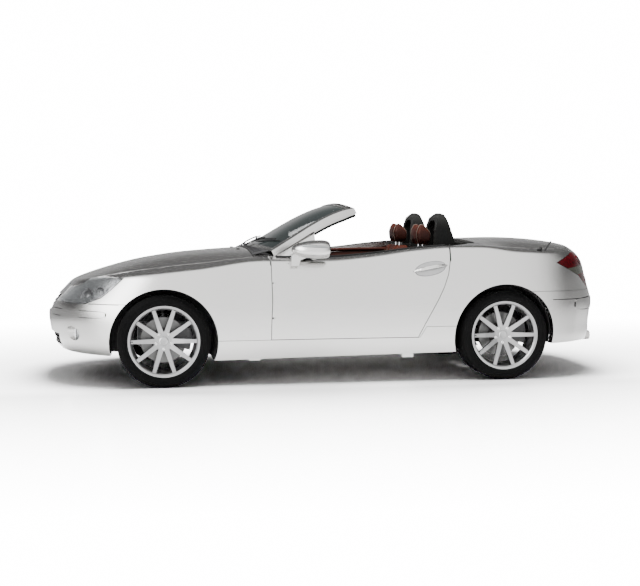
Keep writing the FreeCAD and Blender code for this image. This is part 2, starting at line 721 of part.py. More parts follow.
def build():
    """Make every node and write it."""
    os.makedirs("parts", exist_ok=True)
    outer = envelope(0, 0)
    outer = rounded(outer, SHOULDER_R, lambda e: e.BoundBox.ZMin > 450 and e.Length > 1000)
    lower = below_underside()
    inner_base = 20.0
    base_cut = box(-2200, 2200, -1000, 1000, BODY_BASE - 1, BODY_BASE + inner_base)
    fill = envelope(SIDE_WALL + SEAT_GAP, SKIN + SEAT_GAP)
    inner = envelope(SIDE_WALL, SKIN).cut(base_cut)
    wheel_space = arches()
    shell = hollowed(outer, inner).cut(lower).cut(wheel_space)
    outer = outer.cut(lower)

    cockpit = prism_z([
        (COCKPIT_FRONT_X, 600), (430, COCKPIT_HALF), (-880, COCKPIT_HALF), (COCKPIT_REAR_X, 640),
        (COCKPIT_REAR_X, -640), (-880, -COCKPIT_HALF), (430, -COCKPIT_HALF), (COCKPIT_FRONT_X, -600),
    ], 100, 1200)
    shell = shell.cut(cockpit)

    # Bonnet and boot lid, with the spaces left round them
    plan = bonnet_outline()
    bonnet_axis = (BONNET_REAR_X + LID_NOSE_R, CENTRE_Z(BONNET_REAR_X) - LID_NOSE_R)
    bonnet_hinge, bonnet_space = lid_hinges(*bonnet_axis, -1, BONNET_HINGE_Y)
    bonnet = shell.common(prism_z(plan, 560, 1100)).cut(lid_corner(*bonnet_axis, -1))
    bonnet = solids_of(bonnet.cut(bonnet_space))
    lid_plan = lid_outline()
    lid_axis = (LID_FRONT_X - LID_NOSE_R, CENTRE_Z(LID_FRONT_X) - LID_NOSE_R)
    lid_hinge, lid_space = lid_hinges(*lid_axis, 1, LID_HINGE_Y)
    lid = shell.common(prism_z(lid_plan, LID_BOTTOM, 1100)).cut(lid_corner(*lid_axis, 1))
    lid = solids_of(lid.cut(lid_space))
    rest = shell.cut(prism_z(grown(plan, OPEN_GAP), 500, 1100))
    rest = rest.cut(prism_z(grown(lid_plan, OPEN_GAP), LID_BOTTOM - OPEN_GAP, 1100))

    # Doors
    door_hinge, door_space = door_hinges()
    door = solids_of(shell.common(door_region()).cut(door_space), 20000)
    swing = prism_y(door_outline(DOOR_SWING_GAP), COCKPIT_HALF - DOOR_SWING_GAP, DOOR_HINGE_Y - DOOR_HINGE_BACK)
    hole = door_region(OPEN_GAP).fuse(swing)
    rest = rest.cut(hole).cut(mirrored(hole))

    # Lamps
    deep = envelope(LAMP_LIP, LAMP_LIP)
    headlamp = lamp(rest, deep, HEADLAMP, 300)
    lamp_hole = prism_y(grown(HEADLAMP, PANEL_GAP), 300 - PANEL_GAP, 1000)
    rest = rest.cut(lamp_hole).cut(mirrored(lamp_hole))
    tail_lamp = lamp(rest, deep, TAIL_LAMP, 440)
    tail_hole = prism_y(grown(TAIL_LAMP, PANEL_GAP), 440 - PANEL_GAP, 1000)
    rest = rest.cut(tail_hole).cut(mirrored(tail_hole))

    # Front bumper with its mouths and fog lamp pockets
    front_low = box(FRONT_AXLE_X, 2200, -1000, 1000, 100, BUMPER_TOP)
    nose = box(1700, 2200, -NOSE_HALF, NOSE_HALF, BUMPER_TOP - 1, 1000)
    bumper = rest.common(front_low.fuse(nose))
    mouth = [(-GRILLE_HALF, 612), (GRILLE_HALF, 612), (205, 486), (-205, 486)]
    low_mouth = [(-420, 345), (420, 345), (380, 262), (-380, 262)]
    fog_hole = Part.makeCylinder(FOG_R + SEAT_GAP, 400, V(1600, FOG_Y, FOG_Z), V(1, 0, 0))
    bumper = bumper.cut(prism_x(mouth, 1700, 2200)).cut(prism_x(low_mouth, 1700, 2200))
    bumper = solids_of(bumper.cut(fog_hole).cut(mirrored(fog_hole)), 20000)
    rest = rest.cut(box(FRONT_AXLE_X, 2200, -1000, 1000, 100, BUMPER_TOP + PANEL_GAP))
    rest = rest.cut(nose)

    # Rear bumper with its tailpipe notches and plate holes
    rear_bumper = rest.common(box(-2200, REAR_AXLE_X, -1000, 1000, 100, REAR_BUMPER_TOP))
    notch = rod((-2200, TAILPIPE_Y, TAILPIPE_Z), (-1500, TAILPIPE_Y, TAILPIPE_Z), TAILPIPE_R + 8)
    plate_hole = rod((-2200, PLATE_HOLE_HALF, PLATE_Z), (-1500, PLATE_HOLE_HALF, PLATE_Z), PLATE_HOLE_R)
    rear_bumper = solids_of(rear_bumper.cut(both_sides(notch)).cut(both_sides(plate_hole)), 20000)
    rest = rest.cut(box(-2200, REAR_AXLE_X, -1000, 1000, 100, REAR_BUMPER_TOP + PANEL_GAP))

    # Sills with the floor, wings, scuttle and quarter panels
    sill_top = DOOR_BOTTOM - OPEN_GAP
    sill_line = [(FRONT_AXLE_X, 100), (FRONT_AXLE_X, sill_top), (-575, sill_top), (-620, 390),
                 (REAR_AXLE_X, 390), (REAR_AXLE_X, 100)]
    sill = outer.common(prism_y(sill_line, COCKPIT_HALF, 1000)).cut(wheel_space)
    rest = rest.cut(prism_y(grown(sill_line, PANEL_GAP), -1000, 1000))
    front = rest.common(box(400, 2200, -1000, 1000, 100, 1200))
    scuttle_space = box(400, BONNET_REAR_X + 10, -COCKPIT_HALF, COCKPIT_HALF, 700, 1200)
    wings = front.cut(scuttle_space).fuse([door_hinge, mirrored(door_hinge)])
    wings = solids_of(wings, 20000)
    scuttle = solids_of(front.common(scuttle_space).fuse(bonnet_hinge), 20000)
    quarters = rest.common(box(-2200, -540, -1000, 1000, 100, 1200)).fuse(lid_hinge)
    quarters = solids_of(quarters, 20000)

    low = FLOOR_TOP - FLOOR_T
    floor = box(-1010, BULKHEAD_X + BULKHEAD_T, -COCKPIT_HALF - 5, COCKPIT_HALF + 5, low, FLOOR_TOP)
    floor = floor.fuse(box(-960, BULKHEAD_X, -TUNNEL_HALF, TUNNEL_HALF, low, TUNNEL_TOP))
    floor = floor.cut(box(-1100, 800, 15 - TUNNEL_HALF, TUNNEL_HALF - 15, 100, TUNNEL_TOP - 15))
    rear_space = cyl_y(REAR_AXLE_X, REAR_ARCH_Z, ARCH_R, REAR_ARCH_INNER_Y, 1000)
    floor = floor.cut(both_sides(rear_space))
    pads = [box(x - 40, x + 40, 730, 790, JACK_PAD_Z, 230) for x in JACK_X]
    floor = floor.fuse([sill, mirrored(sill)] + pads + [mirrored(p) for p in pads])

    # Walls inside the body
    passage = box(-2000, 2000, -TUNNEL_HALF, TUNNEL_HALF, 100, TUNNEL_TOP)
    wall = box(BULKHEAD_X, BULKHEAD_X + BULKHEAD_T, -900, 900, FLOOR_TOP, 1100).common(fill)
    wall = wall.cut(passage).cut(prism_y(grown(sill_line, PANEL_GAP), -1000, 1000).cut(
        box(400, 700, -COCKPIT_HALF, COCKPIT_HALF, 100, 1100)))
    rear_wall = box(REAR_WALL_X, REAR_WALL_X + BULKHEAD_T, -REAR_ARCH_INNER_Y, REAR_ARCH_INNER_Y, FLOOR_TOP, 1100)
    rear_wall = rear_wall.common(fill)
    shelf = box(REAR_WALL_X + BULKHEAD_T, SHELF_FRONT_X, -CABIN_HALF, CABIN_HALF, SHELF_TOP - 20, SHELF_TOP)
    rear_wall = solids_of(rear_wall.fuse(shelf).cut(passage))
    tub_y = REAR_ARCH_INNER_Y
    tub = box(TUB_REAR_X, REAR_WALL_X, -tub_y, tub_y, TUB_FLOOR, TUB_TOP)
    tub = tub.cut(box(TUB_REAR_X + TUB_T, REAR_WALL_X + 1, TUB_T - tub_y, tub_y - TUB_T, TUB_FLOOR + TUB_T, 900))
    tub = tub.cut(box(TUB_REAR_X - 1, TUB_REAR_X + TUB_T + 1, -tub_y - 1, tub_y + 1, REAR_BUMPER_TOP - 10, 900))
    tub = solids_of(tub.common(fill))
    front_liner = liner(FRONT_AXLE_X, FRONT_ARCH_Z, ARCH_INNER_Y, 280, TYRE_R, fill)
    rear_liner = liner(REAR_AXLE_X, REAR_ARCH_Z, REAR_ARCH_INNER_Y, 150, TYRE_R, fill)
    liners = [front_liner, mirrored(front_liner), rear_liner, mirrored(rear_liner)]
    liners = Part.makeCompound([s for p in liners for s in p.Solids if s.Volume > 1000])

    # Front rails, beam and radiator
    rail = box(BULKHEAD_X + BULKHEAD_T, RAIL_END_X, RAIL_IN, RAIL_OUT, RAIL_LOW, RAIL_HIGH)
    beam = box(BEAM_BACK_X, RAIL_END_X, -800, 800, RAIL_LOW, RAIL_HIGH).common(fill)
    rails = beam.fuse([rail, mirrored(rail)])
    radiator = box(BEAM_BACK_X - 40, BEAM_BACK_X, -330, 330, 262, 620)

    # Engine, gearbox and shaft to the rear axle
    block = box(700, 1400, -280, 280, 262, 720)
    mount = box(1000, 1060, 270, RAIL_IN, RAIL_LOW + 10, RAIL_LOW + 50)
    gearbox = Part.makeCylinder(74, 800, V(-90, 0, 236), V(1, 0, 0))
    shaft = rod((-80, 0, 236), (-1122, 0, 290), 22)
    diff = box(-1270, -1120, -DIFF_HALF, DIFF_HALF, 236, 390)
    engine = block.fuse([mount, mirrored(mount), gearbox, shaft]).cut(diff)

    suspension = front_suspension()
    suspension = suspension.fuse(mirrored(suspension)).cut(rails)
    frame_bar = box(-1300, -1090, -330, 330, 216, 240)
    rear_axle = diff.fuse(frame_bar)
    for x in (-1290, -1125):
        for y in (-330, 300):
            rear_axle = rear_axle.fuse(box(x, x + 30, y, y + 30, 230, TUB_FLOOR))
    for left in (True, False):
        carrier = at_wheel(upright(), REAR_AXLE_X, REAR_TRACK_HALF, left)
        sign = 1 if left else -1
        hub_y = REAR_TRACK_HALF - DISC_BACK_IN - 22
        for x, z in ((-1250, 228), (-1150, 228)):
            carrier = carrier.fuse(rod((x, sign * 320, z), (REAR_AXLE_X, sign * hub_y, TYRE_R - 70), 13))
        carrier = carrier.fuse(rod((-1250, sign * 315, 400), (REAR_AXLE_X, sign * hub_y, TYRE_R + 80), 11))
        rear_axle = rear_axle.fuse(carrier)

    silencer = box(-1850, -1590, -470, 470, 278, 400)
    silencer = rounded(silencer, 40, lambda e: e.BoundBox.XLength < 1 and e.BoundBox.ZLength < 1)
    exhaust = silencer
    for sign in (-1, 1):
        elbow = rod((-1800, sign * 440, 330), (-1800, sign * TAILPIPE_Y, 320), 28)
        drop = pipe_run([(-1800, sign * TAILPIPE_Y, 320), (-1860, sign * TAILPIPE_Y, TAILPIPE_Z),
                         (-1880, sign * TAILPIPE_Y, TAILPIPE_Z)], 26)
        tip = rod((-1870, sign * TAILPIPE_Y, TAILPIPE_Z), (-1985, sign * TAILPIPE_Y, TAILPIPE_Z), TAILPIPE_R)
        exhaust = exhaust.fuse([elbow, drop, tip])
        exhaust = exhaust.cut(rod((-1890, sign * TAILPIPE_Y, TAILPIPE_Z), (-2000, sign * TAILPIPE_Y, TAILPIPE_Z),
                                  TAILPIPE_BORE_R))
    hanger = box(-1720, -1700, -60, 60, 390, TUB_FLOOR)
    pipe = pipe_run([(-1600, -200, 320), (-1440, -190, 188), (-1060, -60, 188), (-200, -60, 188), (-120, -80, 175),
                     (700, -80, 175), (770, -80, 275)], 18)
    exhaust = exhaust.fuse([hanger, pipe]).cut(engine)

    # Cabin
    frame, glass = windscreen(outer)
    dash = prism_y([(555, 600), (555, 930), (330, 918), (230, 885), (188, 835), (200, 700), (270, 590), (430, 560)],
                   -CABIN_HALF, CABIN_HALF).common(fill)
    hood = prism_y([(330, 870), (330, 925), (250, 942), (190, 915), (180, 850), (230, 850)], SEAT_Y - 150, SEAT_Y + 150)
    column = Part.makeCylinder(30, 210, V(0, 0, -290 - SEAT_GAP))
    dash = dash.fuse(hood).fuse(steering_place(column).cut(box(150, 700, 0, 700, 900, 1100)))
    console = prism_y([(-740, TUNNEL_TOP), (-740, 470), (-520, 500), (-250, 490), (-200, 440), (60, 450), (180, 600),
                       (215, 600), (215, TUNNEL_TOP)], -95, 95).cut(dash)
    lever = rod((-60, 0, 430), (-80, 0, 545), 9).fuse(Part.makeSphere(22, V(-80, 0, 555)))
    console = solids_of(console.fuse(lever))
    cushions, backs, heads, frames = [], [], [], []
    for y in (SEAT_Y, -SEAT_Y):
        cushion, back, head = seat(y)
        cushions.append(cushion)
        backs.append(back)
        heads.append(head)
        base = box(-540, -30, y - 200, y + 200, FLOOR_TOP + 60, CUSHION_BASE)
        for side in (-200, 170):
            base = base.fuse(box(-540, -30, y + side, y + side + 30, FLOOR_TOP, FLOOR_TOP + 70))
        frames.append(base)
    trim_line = grown(door_outline(), -12)
    trim = prism_y(trim_line, COCKPIT_HALF, 1000).common(fill)
    trim = solids_of(trim.fuse(box(-500, -60, 664, COCKPIT_HALF + 1, 600, 650)), 20000)

    # Lamps, grille and small pieces
    fog = Part.makeCylinder(FOG_R, 48, V(1785, FOG_Y, FOG_Z), V(1, 0, 0))
    front_lamps = [headlamp, mirrored(headlamp), fog, mirrored(fog)]
    bars = []
    for i in range(4):
        z = 500 + 28 * i
        bars.append(box(1850, 2100, -GRILLE_HALF, GRILLE_HALF, z, z + 9))
    grille_fill = grown(mouth, -SEAT_GAP)
    recess = outer.copy()
    recess.translate(V(-14, 0, 0))
    bars.append(box(1850, 1862, -GRILLE_HALF, GRILLE_HALF, 480, 620))
    grille = bars[0].fuse(bars[1:]).common(prism_x(grille_fill, 1800, 2100)).common(recess)
    low_bars = [box(1850, 2100, -420, 420, 275 + 26 * i, 283 + 26 * i) for i in range(3)]
    low_bars.append(box(1850, 1862, -420, 420, 262, 345))
    low_grille = low_bars[0].fuse(low_bars[1:]).common(prism_x(grown(low_mouth, -SEAT_GAP), 1800, 2100)).common(recess)
    grille = Part.makeCompound([grille, low_grille])
    antenna = rod((-1480, 760, 850), (-1585, 740, 991), 5).cut(outer)

    for name, shape in (
        ("bonnet", bonnet), ("boot_lid", lid), ("door_left", door), ("door_right", mirrored(door)),
        ("door_trim_left", trim), ("door_trim_right", mirrored(trim)),
        ("mirror_left", mirror_housing().cut(outer)), ("mirror_right", mirrored(mirror_housing().cut(outer))),
        ("front_wings", wings), ("scuttle", scuttle), ("quarter_panels", quarters), ("floor_pan", floor),
        ("front_bumper", bumper), ("rear_bumper", rear_bumper), ("front_bulkhead", solids_of(wall)),
        ("rear_bulkhead", rear_wall), ("boot_tub", tub), ("arch_liners", liners), ("front_rails", rails),
        ("radiator", radiator), ("engine", engine), ("front_suspension", suspension), ("rear_axle", rear_axle),
        ("exhaust", exhaust), ("windscreen_frame", frame), ("windscreen_glass", glass), ("dashboard", dash),
        ("console", console), ("steering_wheel", steering_place(steering_wheel())),
        ("seat_cushions", Part.makeCompound(cushions)), ("seat_backs", Part.makeCompound(backs)),
        ("headrests", Part.makeCompound(heads)), ("seat_frames", Part.makeCompound(frames)),
        ("roll_hoops", both_sides(roll_hoop(SEAT_Y))), ("front_lamps", Part.makeCompound(front_lamps)),
        ("tail_lamps", both_sides(tail_lamp)), ("grille", grille), ("antenna", antenna),
    ):
        save(name, shape)

    wheel_rim = rim()
    for name, x, half, width in (("front", FRONT_AXLE_X, FRONT_TRACK_HALF, FRONT_TYRE_WIDTH),
                                 ("rear", REAR_AXLE_X, REAR_TRACK_HALF, REAR_TYRE_WIDTH)):
        hub = hub_disc(0 if name == "front" else half - DIFF_HALF - SEAT_GAP)
        for left in (True, False):
            end = name + ("_left" if left else "_right")
            save("rim_" + end, at_wheel(wheel_rim, x, half, left))
            save("tyre_" + end, at_wheel(tyre(width), x, half, left))
            save("hub_" + end, at_wheel(hub, x, half, left))
            if name == "front":
                save("knuckle_" + end, at_wheel(front_knuckle(), x, half, left))


build()
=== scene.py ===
"""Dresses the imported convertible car: finishes on its panels, and the trim that the solids leave out."""

import logging
import math
from dataclasses import dataclass, field
from enum import Enum
from typing import Any, Callable, Sequence

import bmesh
import bpy
from mathutils import Matrix, Vector


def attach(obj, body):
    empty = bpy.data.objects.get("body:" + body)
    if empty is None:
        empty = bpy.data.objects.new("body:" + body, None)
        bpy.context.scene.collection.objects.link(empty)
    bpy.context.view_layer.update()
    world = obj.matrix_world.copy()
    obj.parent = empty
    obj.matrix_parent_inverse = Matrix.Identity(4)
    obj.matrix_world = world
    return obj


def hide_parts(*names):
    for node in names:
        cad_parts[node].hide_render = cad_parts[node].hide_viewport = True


LOG = logging.getLogger("car")
Point = tuple[float, float, float]
Colour = tuple[float, float, float]
Pair = tuple[float, float]
AXLES: dict[str, Point] = {
    "front_left": (1.23, 0.765, 0.3186), "front_right": (1.23, -0.765, 0.3186),
    "rear_left": (-1.2, 0.756, 0.3186), "rear_right": (-1.2, -0.756, 0.3186),
}


# Shader expressions
def _operator(operation: str, swapped: bool = False) -> Callable[..., "Sock"]:
    """A method of a socket that adds one Math node, with the other value first where swapped."""
    def method(self: "Sock", *others: Any) -> "Sock":
        """Add the node on this socket and the others."""
        values = (*others, self) if swapped else (self, *others)
        return self.shader.node("ShaderNodeMath", {"operation": operation}, dict(enumerate(values)))
    return method


class Sock:
    """A node socket that arithmetic can be written on."""

    def __init__(self, shader: "Shader", socket: Any) -> None:
        """Keep the shader it belongs to and the socket."""
        self.shader = shader
        self.socket = socket

    __add__ = __radd__ = _operator("ADD")
    __sub__ = _operator("SUBTRACT")
    __rsub__ = _operator("SUBTRACT", swapped=True)
    __mul__ = __rmul__ = _operator("MULTIPLY")
    __truediv__ = _operator("DIVIDE")
    __gt__ = _operator("GREATER_THAN")
    __lt__ = _operator("LESS_THAN")
    sin = _operator("SINE")
    sqrt = _operator("SQRT")
    abs = _operator("ABSOLUTE")
    angle_over = _operator("ARCTAN2")
    maximum = _operator("MAXIMUM")
    minimum = _operator("MINIMUM")

    def wrap(self, size: float) -> "Sock":
        """Remainder within 0 to size."""
        inputs = dict(enumerate((self, size, 0.0)))
        return self.shader.node("ShaderNodeMath", {"operation": "WRAP"}, inputs)

    def clamped(self) -> "Sock":
        """Held between 0 and 1."""
        return self.maximum(0.0).minimum(1.0)

    def step(self, low: float, high: float) -> "Sock":
        """Rises from 0 at low to 1 at high."""
        return ((self - low) / (high - low)).clamped()


class Shader:
    """A material's node tree, with one method that adds any node."""

    def __init__(self, name: str) -> None:
        """Start an empty material of that name with a Principled shader."""
        self.material = bpy.data.materials.new(name)
        self.material.use_nodes = True
        self.tree = self.material.node_tree
        self.tree.nodes.clear()
        self.output = self.tree.nodes.new("ShaderNodeOutputMaterial")
        self.surface = self.tree.nodes.new("ShaderNodeBsdfPrincipled")
        self.tree.links.new(self.surface.outputs[0], self.output.inputs["Surface"])

    def node(self, kind: str, settings: dict[str, Any], inputs: dict[Any, Any], output: Any = 0) -> Sock:
        """Add a node.

        Args:
            kind: the node's type.
            settings: its own settings; "stops" fills a colour ramp.
            inputs: values or sockets by input name or number.
            output: the output to give back.

        Returns:
            The chosen output.
        """
        made = self.tree.nodes.new(kind)
        for key, value in settings.items():
            if key == "stops":
                self._ramp(made, value)
            else:
                setattr(made, key, value)
        for key, value in inputs.items():
            target = made.inputs[key]
            if isinstance(value, Sock):
                self.tree.links.new(value.socket, target)
            else:
                target.default_value = value
        return Sock(self, made.outputs[output])

    @staticmethod
    def _ramp(made: Any, stops: Sequence[tuple[float, Colour]]) -> None:
        """Give a ramp its stops."""
        elements = made.color_ramp.elements
        while len(elements) > 1:
            elements.remove(elements[-1])
        for i, (place, colour) in enumerate(stops):
            element = elements[0] if i == 0 else elements.new(place)
            element.position = place
            element.color = (*colour, 1.0)

    def place(self) -> Sock:
        """Object coordinates, in metres in the car's frame."""
        return self.node("ShaderNodeTexCoord", {}, {}, "Object")

    def axes(self, vector: Sock) -> tuple[Sock, Sock, Sock]:
        """The three parts of a vector."""
        split = self.tree.nodes.new("ShaderNodeSeparateXYZ")
        self.tree.links.new(vector.socket, split.inputs[0])
        return tuple(Sock(self, out) for out in split.outputs)

    def noise(self, vector: Sock, scale: float, detail: float = 3.0, roughness: float = 0.5) -> Sock:
        """Fractal noise at a scale in cells a metre."""
        inputs = {"Vector": vector, "Scale": scale, "Detail": detail, "Roughness": roughness}
        return self.node("ShaderNodeTexNoise", {}, inputs, "Fac")

    def edges(self, vector: Sock, scale: float) -> Sock:
        """Distance to the edges of random cells, at a scale in cells a metre."""
        inputs = {"Vector": vector, "Scale": scale}
        return self.node("ShaderNodeTexVoronoi", {"feature": "DISTANCE_TO_EDGE"}, inputs)

    def mix(self, share: Any, first: Any, second: Any) -> Sock:
        """Blend two colours by a share."""
        made = self.tree.nodes.new("ShaderNodeMix")
        made.data_type = "RGBA"
        for target, value in ((made.inputs[0], share), (made.inputs[6], first), (made.inputs[7], second)):
            if isinstance(value, Sock):
                self.tree.links.new(value.socket, target)
            else:
                target.default_value = value if isinstance(value, float) else (*value, 1.0)
        return Sock(self, made.outputs[2])

    def bump(self, height: Sock, strength: float, distance: float) -> None:
        """Feed a height to the surface's normal."""
        inputs = {"Height": height, "Strength": strength, "Distance": distance}
        self.link("Normal", self.node("ShaderNodeBump", {}, inputs))

    def link(self, name: str, value: Sock) -> None:
        """Link a value to one of the surface's sockets."""
        self.tree.links.new(value.socket, self.surface.inputs[name])

    def blend(self, share: Sock, values: dict[str, Any]) -> None:
        """Use the surface by a share, and for the rest one with other values.

        Args:
            share: how much of the surface shows.
            values: values or sockets of the other surface by input name.
        """
        other = self.node("ShaderNodeBsdfPrincipled", {}, {
            key: (*value, 1.0) if isinstance(value, tuple) else value for key, value in values.items()})
        own = Sock(self, self.surface.outputs[0])
        mixed = self.node("ShaderNodeMixShader", {}, {0: share, 1: other, 2: own})
        self.tree.links.new(mixed.socket, self.output.inputs["Surface"])

    def fixed(self, **values: Any) -> None:
        """Set the surface's own sockets; underscores stand for spaces."""
        for key, value in values.items():
            if isinstance(value, tuple) and len(value) == 3:
                value = (*value, 1.0)
            self.surface.inputs[key.replace("_", " ")].default_value = value


class Sky(Shader):
    """A world's node tree, with one Background."""

    def __init__(self, name: str) -> None:
        """Start a world of that name."""
        self.world = bpy.data.worlds.new(name)
        self.world.use_nodes = True
        self.tree = self.world.node_tree
        self.surface = self.tree.nodes["Background"]
        self.surface.inputs["Color"].default_value = (1.0, 1.0, 1.0, 1.0)

    def graded(self, source: Sock, ends: Pair, low: Any, high: Any) -> Sock:
        """Smooth change of a value between two ends."""
        inputs = dict(enumerate((source, *ends, low, high)))
        return self.node("ShaderNodeMapRange", {"interpolation_type": "SMOOTHSTEP"}, inputs)


# Finishes
@dataclass(frozen=True)
class CarPaint:
    """Clear-coated metallic paint."""

    name: str = "silver_paint"
    colour: Colour = (0.47, 0.465, 0.455)
    shade: Colour = (0.44, 0.436, 0.427)
    metal: float = 0.96
    base_roughness: float = 0.2
    coat: float = 0.35

    def material(self) -> Any:
        """Build it."""
        s = Shader(self.name)
        place = s.place()
        flakes = s.noise(place, 900.0, 2.0)
        broad = s.noise(place, 1.3, 2.0)
        share = (broad * 0.6 + flakes * 0.4).step(0.3, 0.7)
        s.link("Base Color", s.mix(share, self.colour, self.shade))
        s.link("Roughness", self.base_roughness + flakes * 0.08)
        s.fixed(Metallic=self.metal, Coat_Weight=self.coat, Coat_Roughness=0.04)
        return s.material


@dataclass(frozen=True)
class Moulded:
    """Grained or smooth moulded plastic, rubber or painted steel."""

    name: str
    colour: Colour
    roughness: float = 0.55
    grain: float = 0.25
    grain_scale: float = 600.0
    metal: float = 0.0
    coat: float = 0.0
    specular: float = 0.5

    def material(self) -> Any:
        """Build it."""
        s = Shader(self.name)
        place = s.place()
        broad = s.noise(place, 4.0, 3.0)
        fine = s.noise(place, self.grain_scale, 2.0)
        light = tuple(min(1.0, c * 1.12 + 0.002) for c in self.colour)
        dark = tuple(c * 0.88 for c in self.colour)
        s.link("Base Color", s.mix(broad.step(0.3, 0.7), dark, light))
        s.link("Roughness", self.roughness - 0.06 + broad * 0.12)
        s.fixed(Metallic=self.metal, Coat_Weight=self.coat, Coat_Roughness=0.05,
                Specular_IOR_Level=self.specular)
        if self.grain:
            s.bump(fine, self.grain, 0.0004)
        return s.material


@dataclass(frozen=True)
class Glazing:
    """Tinted glass, which lets less through where it is seen along its face."""

    name: str
    colour: Colour
    alpha: float
    edge_alpha: float = 0.3
    roughness: float = 0.02

    def material(self) -> Any:
        """Build it."""
        s = Shader(self.name)
        veil = s.noise(s.place(), 3.0, 3.0)
        s.link("Roughness", self.roughness + veil * 0.015)
        facing = s.node("ShaderNodeLayerWeight", {}, {"Blend": 0.5}, "Facing")
        s.link("Alpha", facing.step(0.6, 0.85) * (self.edge_alpha - self.alpha) + self.alpha)
        s.fixed(Base_Color=self.colour, IOR=1.5)
        return s.material


@dataclass(frozen=True)
class Leather:
    """Grained leather."""

    name: str
    colour: Colour
    crease: Colour
    scale: float = 230.0

    def material(self) -> Any:
        """Build it."""
        s = Shader(self.name)
        place = s.place()
        cells = s.edges(place, self.scale)
        broad = s.noise(place, 7.0, 4.0)
        share = broad.step(0.3, 0.72)
        s.link("Base Color", s.mix(share, self.crease, self.colour))
        s.link("Roughness", 0.4 + broad * 0.14)
        s.bump(cells.step(0.0, 0.25), 0.35, 0.0005)
        s.fixed(Specular_IOR_Level=0.12)
        return s.material


@dataclass(frozen=True)
class TyreRubber:
    """Rubber of one tyre: tread blocks, grooves and ribbed walls worked out from the axle."""

    name: str
    axle: Point
    radius: float = 0.3186
    wall_radius: float = 0.29

    def material(self) -> Any:
        """Build it."""
        s = Shader(self.name)
        x, y, z = s.axes(s.place())
        dx, dz = x - self.axle[0], z - self.axle[2]
        r = (dx * dx + dz * dz).sqrt()
        across = y - self.axle[1]
        angle = dz.angle_over(dx)
        broad = s.noise(s.place(), 9.0, 4.0)
        groove = ((across.abs() + 0.008).wrap(0.034) - 0.017).abs() < 0.0042
        lane = (across * 26.0).sin() * 0.03
        cut = ((angle + lane) * 36.0).sin() > 0.82
        tread = r > self.radius - 0.006
        cutaway = groove.maximum(cut * 0.7) * tread
        wall = (r < self.wall_radius + 0.004) * (r > self.wall_radius - 0.012)
        height = 1.0 - cutaway + (r * 900.0).sin().step(0.2, 0.9) * wall * 0.12
        s.bump(height, 0.9, 0.006)
        base = s.mix(broad.step(0.3, 0.7), (0.0035, 0.0035, 0.0035), (0.006, 0.006, 0.0061))
        # painted shade: the grooves and cuts take a darker rubber than the mean of the rest
        s.link("Base Color", s.mix(cutaway, base, (0.004, 0.004, 0.004)))
        s.link("Roughness", 0.7 + broad * 0.16)
        s.fixed(Specular_IOR_Level=0.04)
        return s.material


@dataclass(frozen=True)
class TailLens:
    """Red lamp lens with a clear grey band across it and a dark rear edge."""

    name: str = "lamp_red"
    red: Colour = (0.075, 0.0005, 0.003)
    deep: Colour = (0.022, 0.0005, 0.0015)
    band: Colour = (0.06, 0.063, 0.05)
    low: float = 0.741
    high: float = 0.799

    def material(self) -> Any:
        """Build it."""
        s = Shader(self.name)
        place = s.place()
        x, y, z = s.axes(place)
        lean = z + (x + 1.75) * 0.12
        over, past = (lean.step(edge - 0.003, edge + 0.003) for edge in (self.low, self.high))
        inside = over * (1.0 - past)
        ribs = (z * 700.0).sin()
        cells = s.node("ShaderNodeTexVoronoi", {}, {"Vector": place, "Scale": 60.0})
        glow = s.mix(cells.step(0.0, 0.9), self.red, self.deep)
        s.link("Base Color", s.mix(inside, glow, self.band))
        s.link("Roughness", 0.1 + cells * 0.06)
        s.fixed(Coat_Weight=0.15, Coat_Roughness=0.02, Specular_IOR_Level=0.15)
        s.bump(ribs * inside + cells * 0.4, 0.2, 0.0006)
        return s.material


@dataclass(frozen=True)
class Pile:
    """Cut pile carpet."""

    name: str
    colour: Colour
    scale: float = 900.0

    def material(self) -> Any:
        """Build it."""
        s = Shader(self.name)
        place = s.place()
        tufts = s.noise(place, self.scale, 2.0)
        worn = s.noise(place, 5.0, 3.0)
        light = tuple(c * 1.6 + 0.004 for c in self.colour)
        s.link("Base Color", s.mix((tufts * 0.6 + worn * 0.4).step(0.35, 0.65), self.colour, light))
        s.link("Roughness", 0.86 + tufts * 0.1)
        s.fixed(Sheen_Weight=0.3, Sheen_Roughness=0.5, Specular_IOR_Level=0.2)
        s.bump(tufts, 0.8, 0.002)
        return s.material


@dataclass(frozen=True)
class Webbing:
    """Woven belt."""

    name: str
    colour: Colour

    def material(self) -> Any:
        """Build it."""
        s = Shader(self.name)
        place = s.place()
        x, _, z = s.axes(place)
        weave = ((x + z * 0.4) * 2600.0).sin() * (z * 2600.0).sin()
        broad = s.noise(place, 30.0)
        s.link("Base Color", s.mix(broad.step(0.3, 0.7), self.colour, tuple(c * 1.5 for c in self.colour)))
        s.link("Roughness", 0.7 + broad * 0.1)
        s.bump(weave, 0.4, 0.0006)
        return s.material


@dataclass(frozen=True)
class ScuttlePaint:
    """Car paint, turned to black plastic in the middle of the scuttle."""

    name: str
    half: float = 0.61

    def material(self) -> Any:
        """Build it."""
        s = Shader(self.name)
        place = s.place()
        _, y, _ = s.axes(place)
        black = 1.0 - y.abs().step(self.half - 0.002, self.half)
        flakes = s.noise(place, 900.0, 2.0)
        paint = CarPaint()
        silver = s.mix(flakes.step(0.3, 0.7), paint.colour, paint.shade)
        s.link("Base Color", s.mix(black, silver, (0.016, 0.016, 0.017)))
        s.link("Roughness", paint.base_roughness + flakes * 0.08 + black * 0.25)
        s.link("Metallic", (1.0 - black) * paint.metal)
        s.link("Coat Weight", 1.0 - black)
        s.fixed(Coat_Roughness=0.04)
        return s.material


